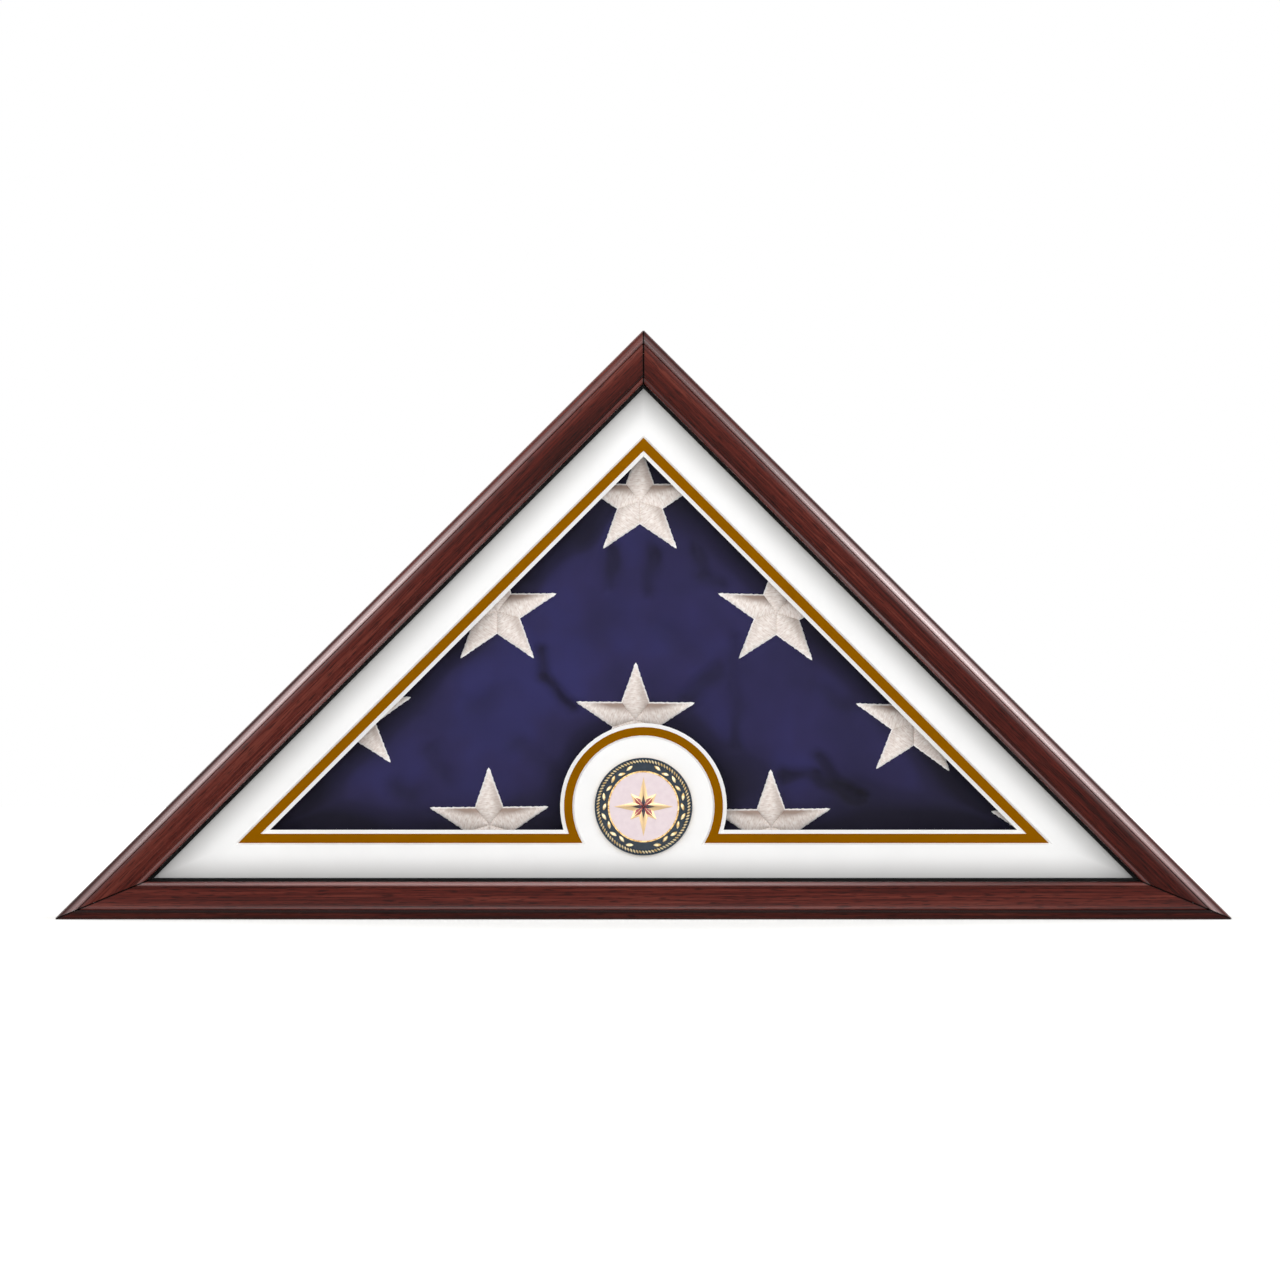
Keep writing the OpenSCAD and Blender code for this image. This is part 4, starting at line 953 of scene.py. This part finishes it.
# %% Pad and bumpers
def turned(profile, centres, steps=40):
    """Profiles of radius and depth turned about axes through the centres (x, z), and closed at both ends."""
    angle = np.linspace(0, math.tau, steps, endpoint=False)
    x = centres[:, 0, None, None] + profile[:, 0, None] * np.cos(angle)
    z = centres[:, 1, None, None] + profile[:, 0, None] * np.sin(angle)
    y = np.broadcast_to(profile[:, 1, None], x.shape)
    return wrapped(np.stack([x, y, z], -1))


PAD_INNER, PAD_TRIM, PAD_BULGE = 0.3, 0.5, 0.4  # radius of the ends' inner ring as a share, and mm
pad_low, pad_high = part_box("medallion_pad")
pad_r, pad_t = (pad_high.x - pad_low.x) / 2 / MM, (pad_high.y - pad_low.y) / MM
belly = np.linspace(0, math.pi, 9)
pad_side = [pad_r - PAD_TRIM + PAD_BULGE * np.sin(belly), MAT_FRONT - pad_t * (1 - np.cos(belly)) / 2]
pad_end = [pad_r * PAD_INNER, MAT_FRONT - pad_t]
pad_profile = np.array([[pad_r * PAD_INNER, MAT_FRONT], *zip(*pad_side), pad_end])
foam = board("polyethylene_foam_closed_cell", "#e8e4da", "#dcd8cd", 0.9, 0.9, 0.5)
piece = make_piece("foam_mounting_pad", turned(pad_profile, np.array([[0.0, TONGUE_Z]])), foam)
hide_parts("medallion_pad")

rubber = board("black_rubber_moulded", "#1b1b1c", "#222223", 1.1, 0.7, 0.35)
BUMP_R, BUMP_T, BUMP_EDGE, BUMP_INNER = 5.0, 3.2, 1.5, 0.2
BUMP_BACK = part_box("wall_bumpers")[1].y / MM - FRONT
dome = np.radians(np.linspace(0, 90, 8))[1:]
bump_edge = [BUMP_R - BUMP_EDGE + BUMP_EDGE * np.cos(dome), BUMP_BACK - BUMP_EDGE + BUMP_EDGE * np.sin(dome)]
bump_foot = [BUMP_R * BUMP_INNER, BUMP_BACK - BUMP_T], [BUMP_R, BUMP_BACK - BUMP_T]
bump_profile = np.array([*bump_foot, *zip(*bump_edge), [BUMP_R * BUMP_INNER, BUMP_BACK]])
BUMP_X, BUMP_Z, BUMP_PEAK_IN = 280.0, 5.5, 11.0
bump_places = np.array([[-BUMP_X, BUMP_Z], [BUMP_X, BUMP_Z], corners_at(BUMP_PEAK_IN)["peak"]])
piece = make_piece("rubber_bumpers", turned(bump_profile, bump_places), rubber)
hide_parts("wall_bumpers")

# %% [markdown]
# ## The back
# The back is a hardboard panel with a dark stain, lined with felt on the flag's side. Hardboard is
# pressed wood fibre, so it shows a fine tangle with no grain. The felt is a soft sheet and gets a
# mesh of its own with an uneven nap. Six brass-plated buttons on pan-head screws hold the panel in.

# %% Panel and buttons
hardboard = board("hardboard_pressed_stained", "#3b2621", "#48302a", 1.6, 0.62, 0.35)
eased("back_panel", 0.5, hardboard, "back")
eased("keyhole_plate", 0.15, zinc, "case")
for place in ("base_left", "base_right", "left_low", "left_high", "right_low", "right_high"):
    eased(f"turn_button_{place}", 0.25, brass_plate, f"button_{place}")

# %% Felt lining
felt, tree, skin = start_material(
    "wool_felt_pressed", "#181a24", Roughness=1.0, Specular_IOR_Level=0.05, Sheen_Weight=0.3,
    Sheen_Roughness=0.6)
where = add_node(tree, "TexCoord").outputs["Object"]
nap = add_node(tree, "TexNoise", {"Vector": where, "Scale": 500.0, "Detail": 5.0})
lint = add_node(tree, "ValToRGB", {"Fac": nap}, [(0.35, "#12141c"), (0.7, "#232634")])
relief = add_node(tree, "Bump", {"Height": nap, "Strength": 0.6, "Distance": 0.0006})
feed(tree, skin, {"Base Color": lint, "Normal": relief})

NAP_H = 0.12  # mm that the felt's face rises and sinks about its middle
felt_low, felt_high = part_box("back_lining")
felt_z = np.linspace(felt_low.z, felt_high.z, 60) / MM
felt_half = np.minimum(felt_high.x / MM, CASE_H - felt_z - felt_low.z / MM / math.cos(SLOPE))
felt_x = felt_half[:, None] * np.linspace(-1, 1, 120)
felt_rows = np.broadcast_to(felt_z[:, None], felt_x.shape)
uneven = NAP_H * (1 + np.sin(felt_x / 9.0 + np.sin(felt_rows / 7.0)) * np.sin(felt_rows / 11.0 + 1.3))
felt_front, felt_back = (np.stack([felt_x, depth, felt_rows], -1)[None] for depth in (
    felt_low.y / MM - FRONT + uneven, np.full(felt_x.shape, felt_high.y / MM - FRONT)))
lining = make_piece("felt_lining", between(felt_front, felt_back), felt, body="back")
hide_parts("back_lining")

# %% [markdown]
# ## Studio
# A plain pale floor and a white surround, with large soft boxes above, in front and behind. It
# is white for the camera and for mirrors and glass, and gives the object itself a plain level of
# light. The key box is on the right.


# %% Floor and surround
def seen_by(tree, *kinds):
    """1 for rays of the kinds, and 0 for others."""
    path, seen = add_node(tree, "LightPath").outputs, 0.0
    for kind in kinds:
        seen = add_node(tree, "Math", {0: seen, 1: path[kind]}, operation="MAXIMUM")
    return seen


FLOOR_R, AMBIENT, WHITE = 4.0, 0.74, (1, 1, 1, 1)
floor_mesh = bpy.data.meshes.new("floor")
floor_angle = np.linspace(0, math.tau, 64, endpoint=False)
floor_points = [(x, y, 0.0) for x, y in ray(FLOOR_R, floor_angle).tolist()]
floor_mesh.from_pydata(floor_points, [], [list(range(64))])
floor = add_object("floor", floor_mesh)
floor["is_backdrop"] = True
paper, tree, skin = start_material("backdrop_paper_matt", "#f4f4f2", Roughness=1.0, Specular_IOR_Level=0.0)
where = add_node(tree, "TexCoord").outputs["Object"]
far = add_node(tree, "VectorMath", {0: where}, operation="LENGTH").outputs["Value"]
# close to the case the paper keeps its shadow, further off it passes into the white surround
fade = {"Value": far, "From Min": 0.5, "From Max": 1.6, "To Min": 0.2, "To Max": 1.0}
fade = add_node(tree, "MapRange", fade)
seen = seen_by(tree, "Is Camera Ray", "Is Glossy Ray")
lift = add_node(tree, "Math", {0: seen, 1: fade}, operation="MULTIPLY")
feed(tree, skin, {"Emission Strength": lift, "Emission Color": WHITE})
cover(floor_mesh, paper)

world = bpy.data.worlds.new("surround")
bpy.context.scene.world = world
world.use_nodes = True
tree = world.node_tree
seen = seen_by(tree, "Is Camera Ray", "Is Glossy Ray", "Is Transmission Ray")
level = add_node(tree, "MapRange", {"Value": seen, "To Min": AMBIENT, "To Max": 1.0})
feed(tree, tree.nodes["Background"], {"Strength": level, "Color": WHITE})

# %% Soft boxes
LAMPS = [  # name, place, roll in degrees so that one side lies along a rail, size (width, height), power in W
    ("side_right", (1.46, -1.74, 1.61), -45, (0.9, 1.6), 9.6),
    ("side_left", (-1.46, -1.74, 1.61), 45, (0.9, 1.6), 7.6),
    ("front_right", (0.51, -2.5, 0.66), -45, (0.9, 0.8), 7.0),
    ("front_left", (-0.51, -2.5, 0.66), 45, (0.9, 0.8), 5.6),
    ("rear_left", (-1.8, 2.2, 1.5), 0, (1.2, 1.2), 14),
    ("rear_right", (1.8, 2.2, 1.5), 0, (1.2, 1.2), 14)]
middle = Vector((0.0, 0.0, 0.15))
for name, place, roll, size, power in LAMPS:
    lamp = bpy.data.lights.new(name, "AREA")
    lamp.shape, lamp.energy = "RECTANGLE", power
    lamp.size, lamp.size_y = size
    box = add_object(name, lamp)
    box.location = place
    facing = (middle - box.location).to_track_quat("-Z", "Y") @ Quaternion((0, 0, 1), math.radians(roll))
    box.rotation_euler = facing.to_euler()
bpy.context.scene.view_settings.view_transform = "Standard"
print(f"{len(LAMPS)} soft boxes")

# %% Size and finish
low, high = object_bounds()
print("visual box", [round(v / MM, 2) for v in (*low, *high)])
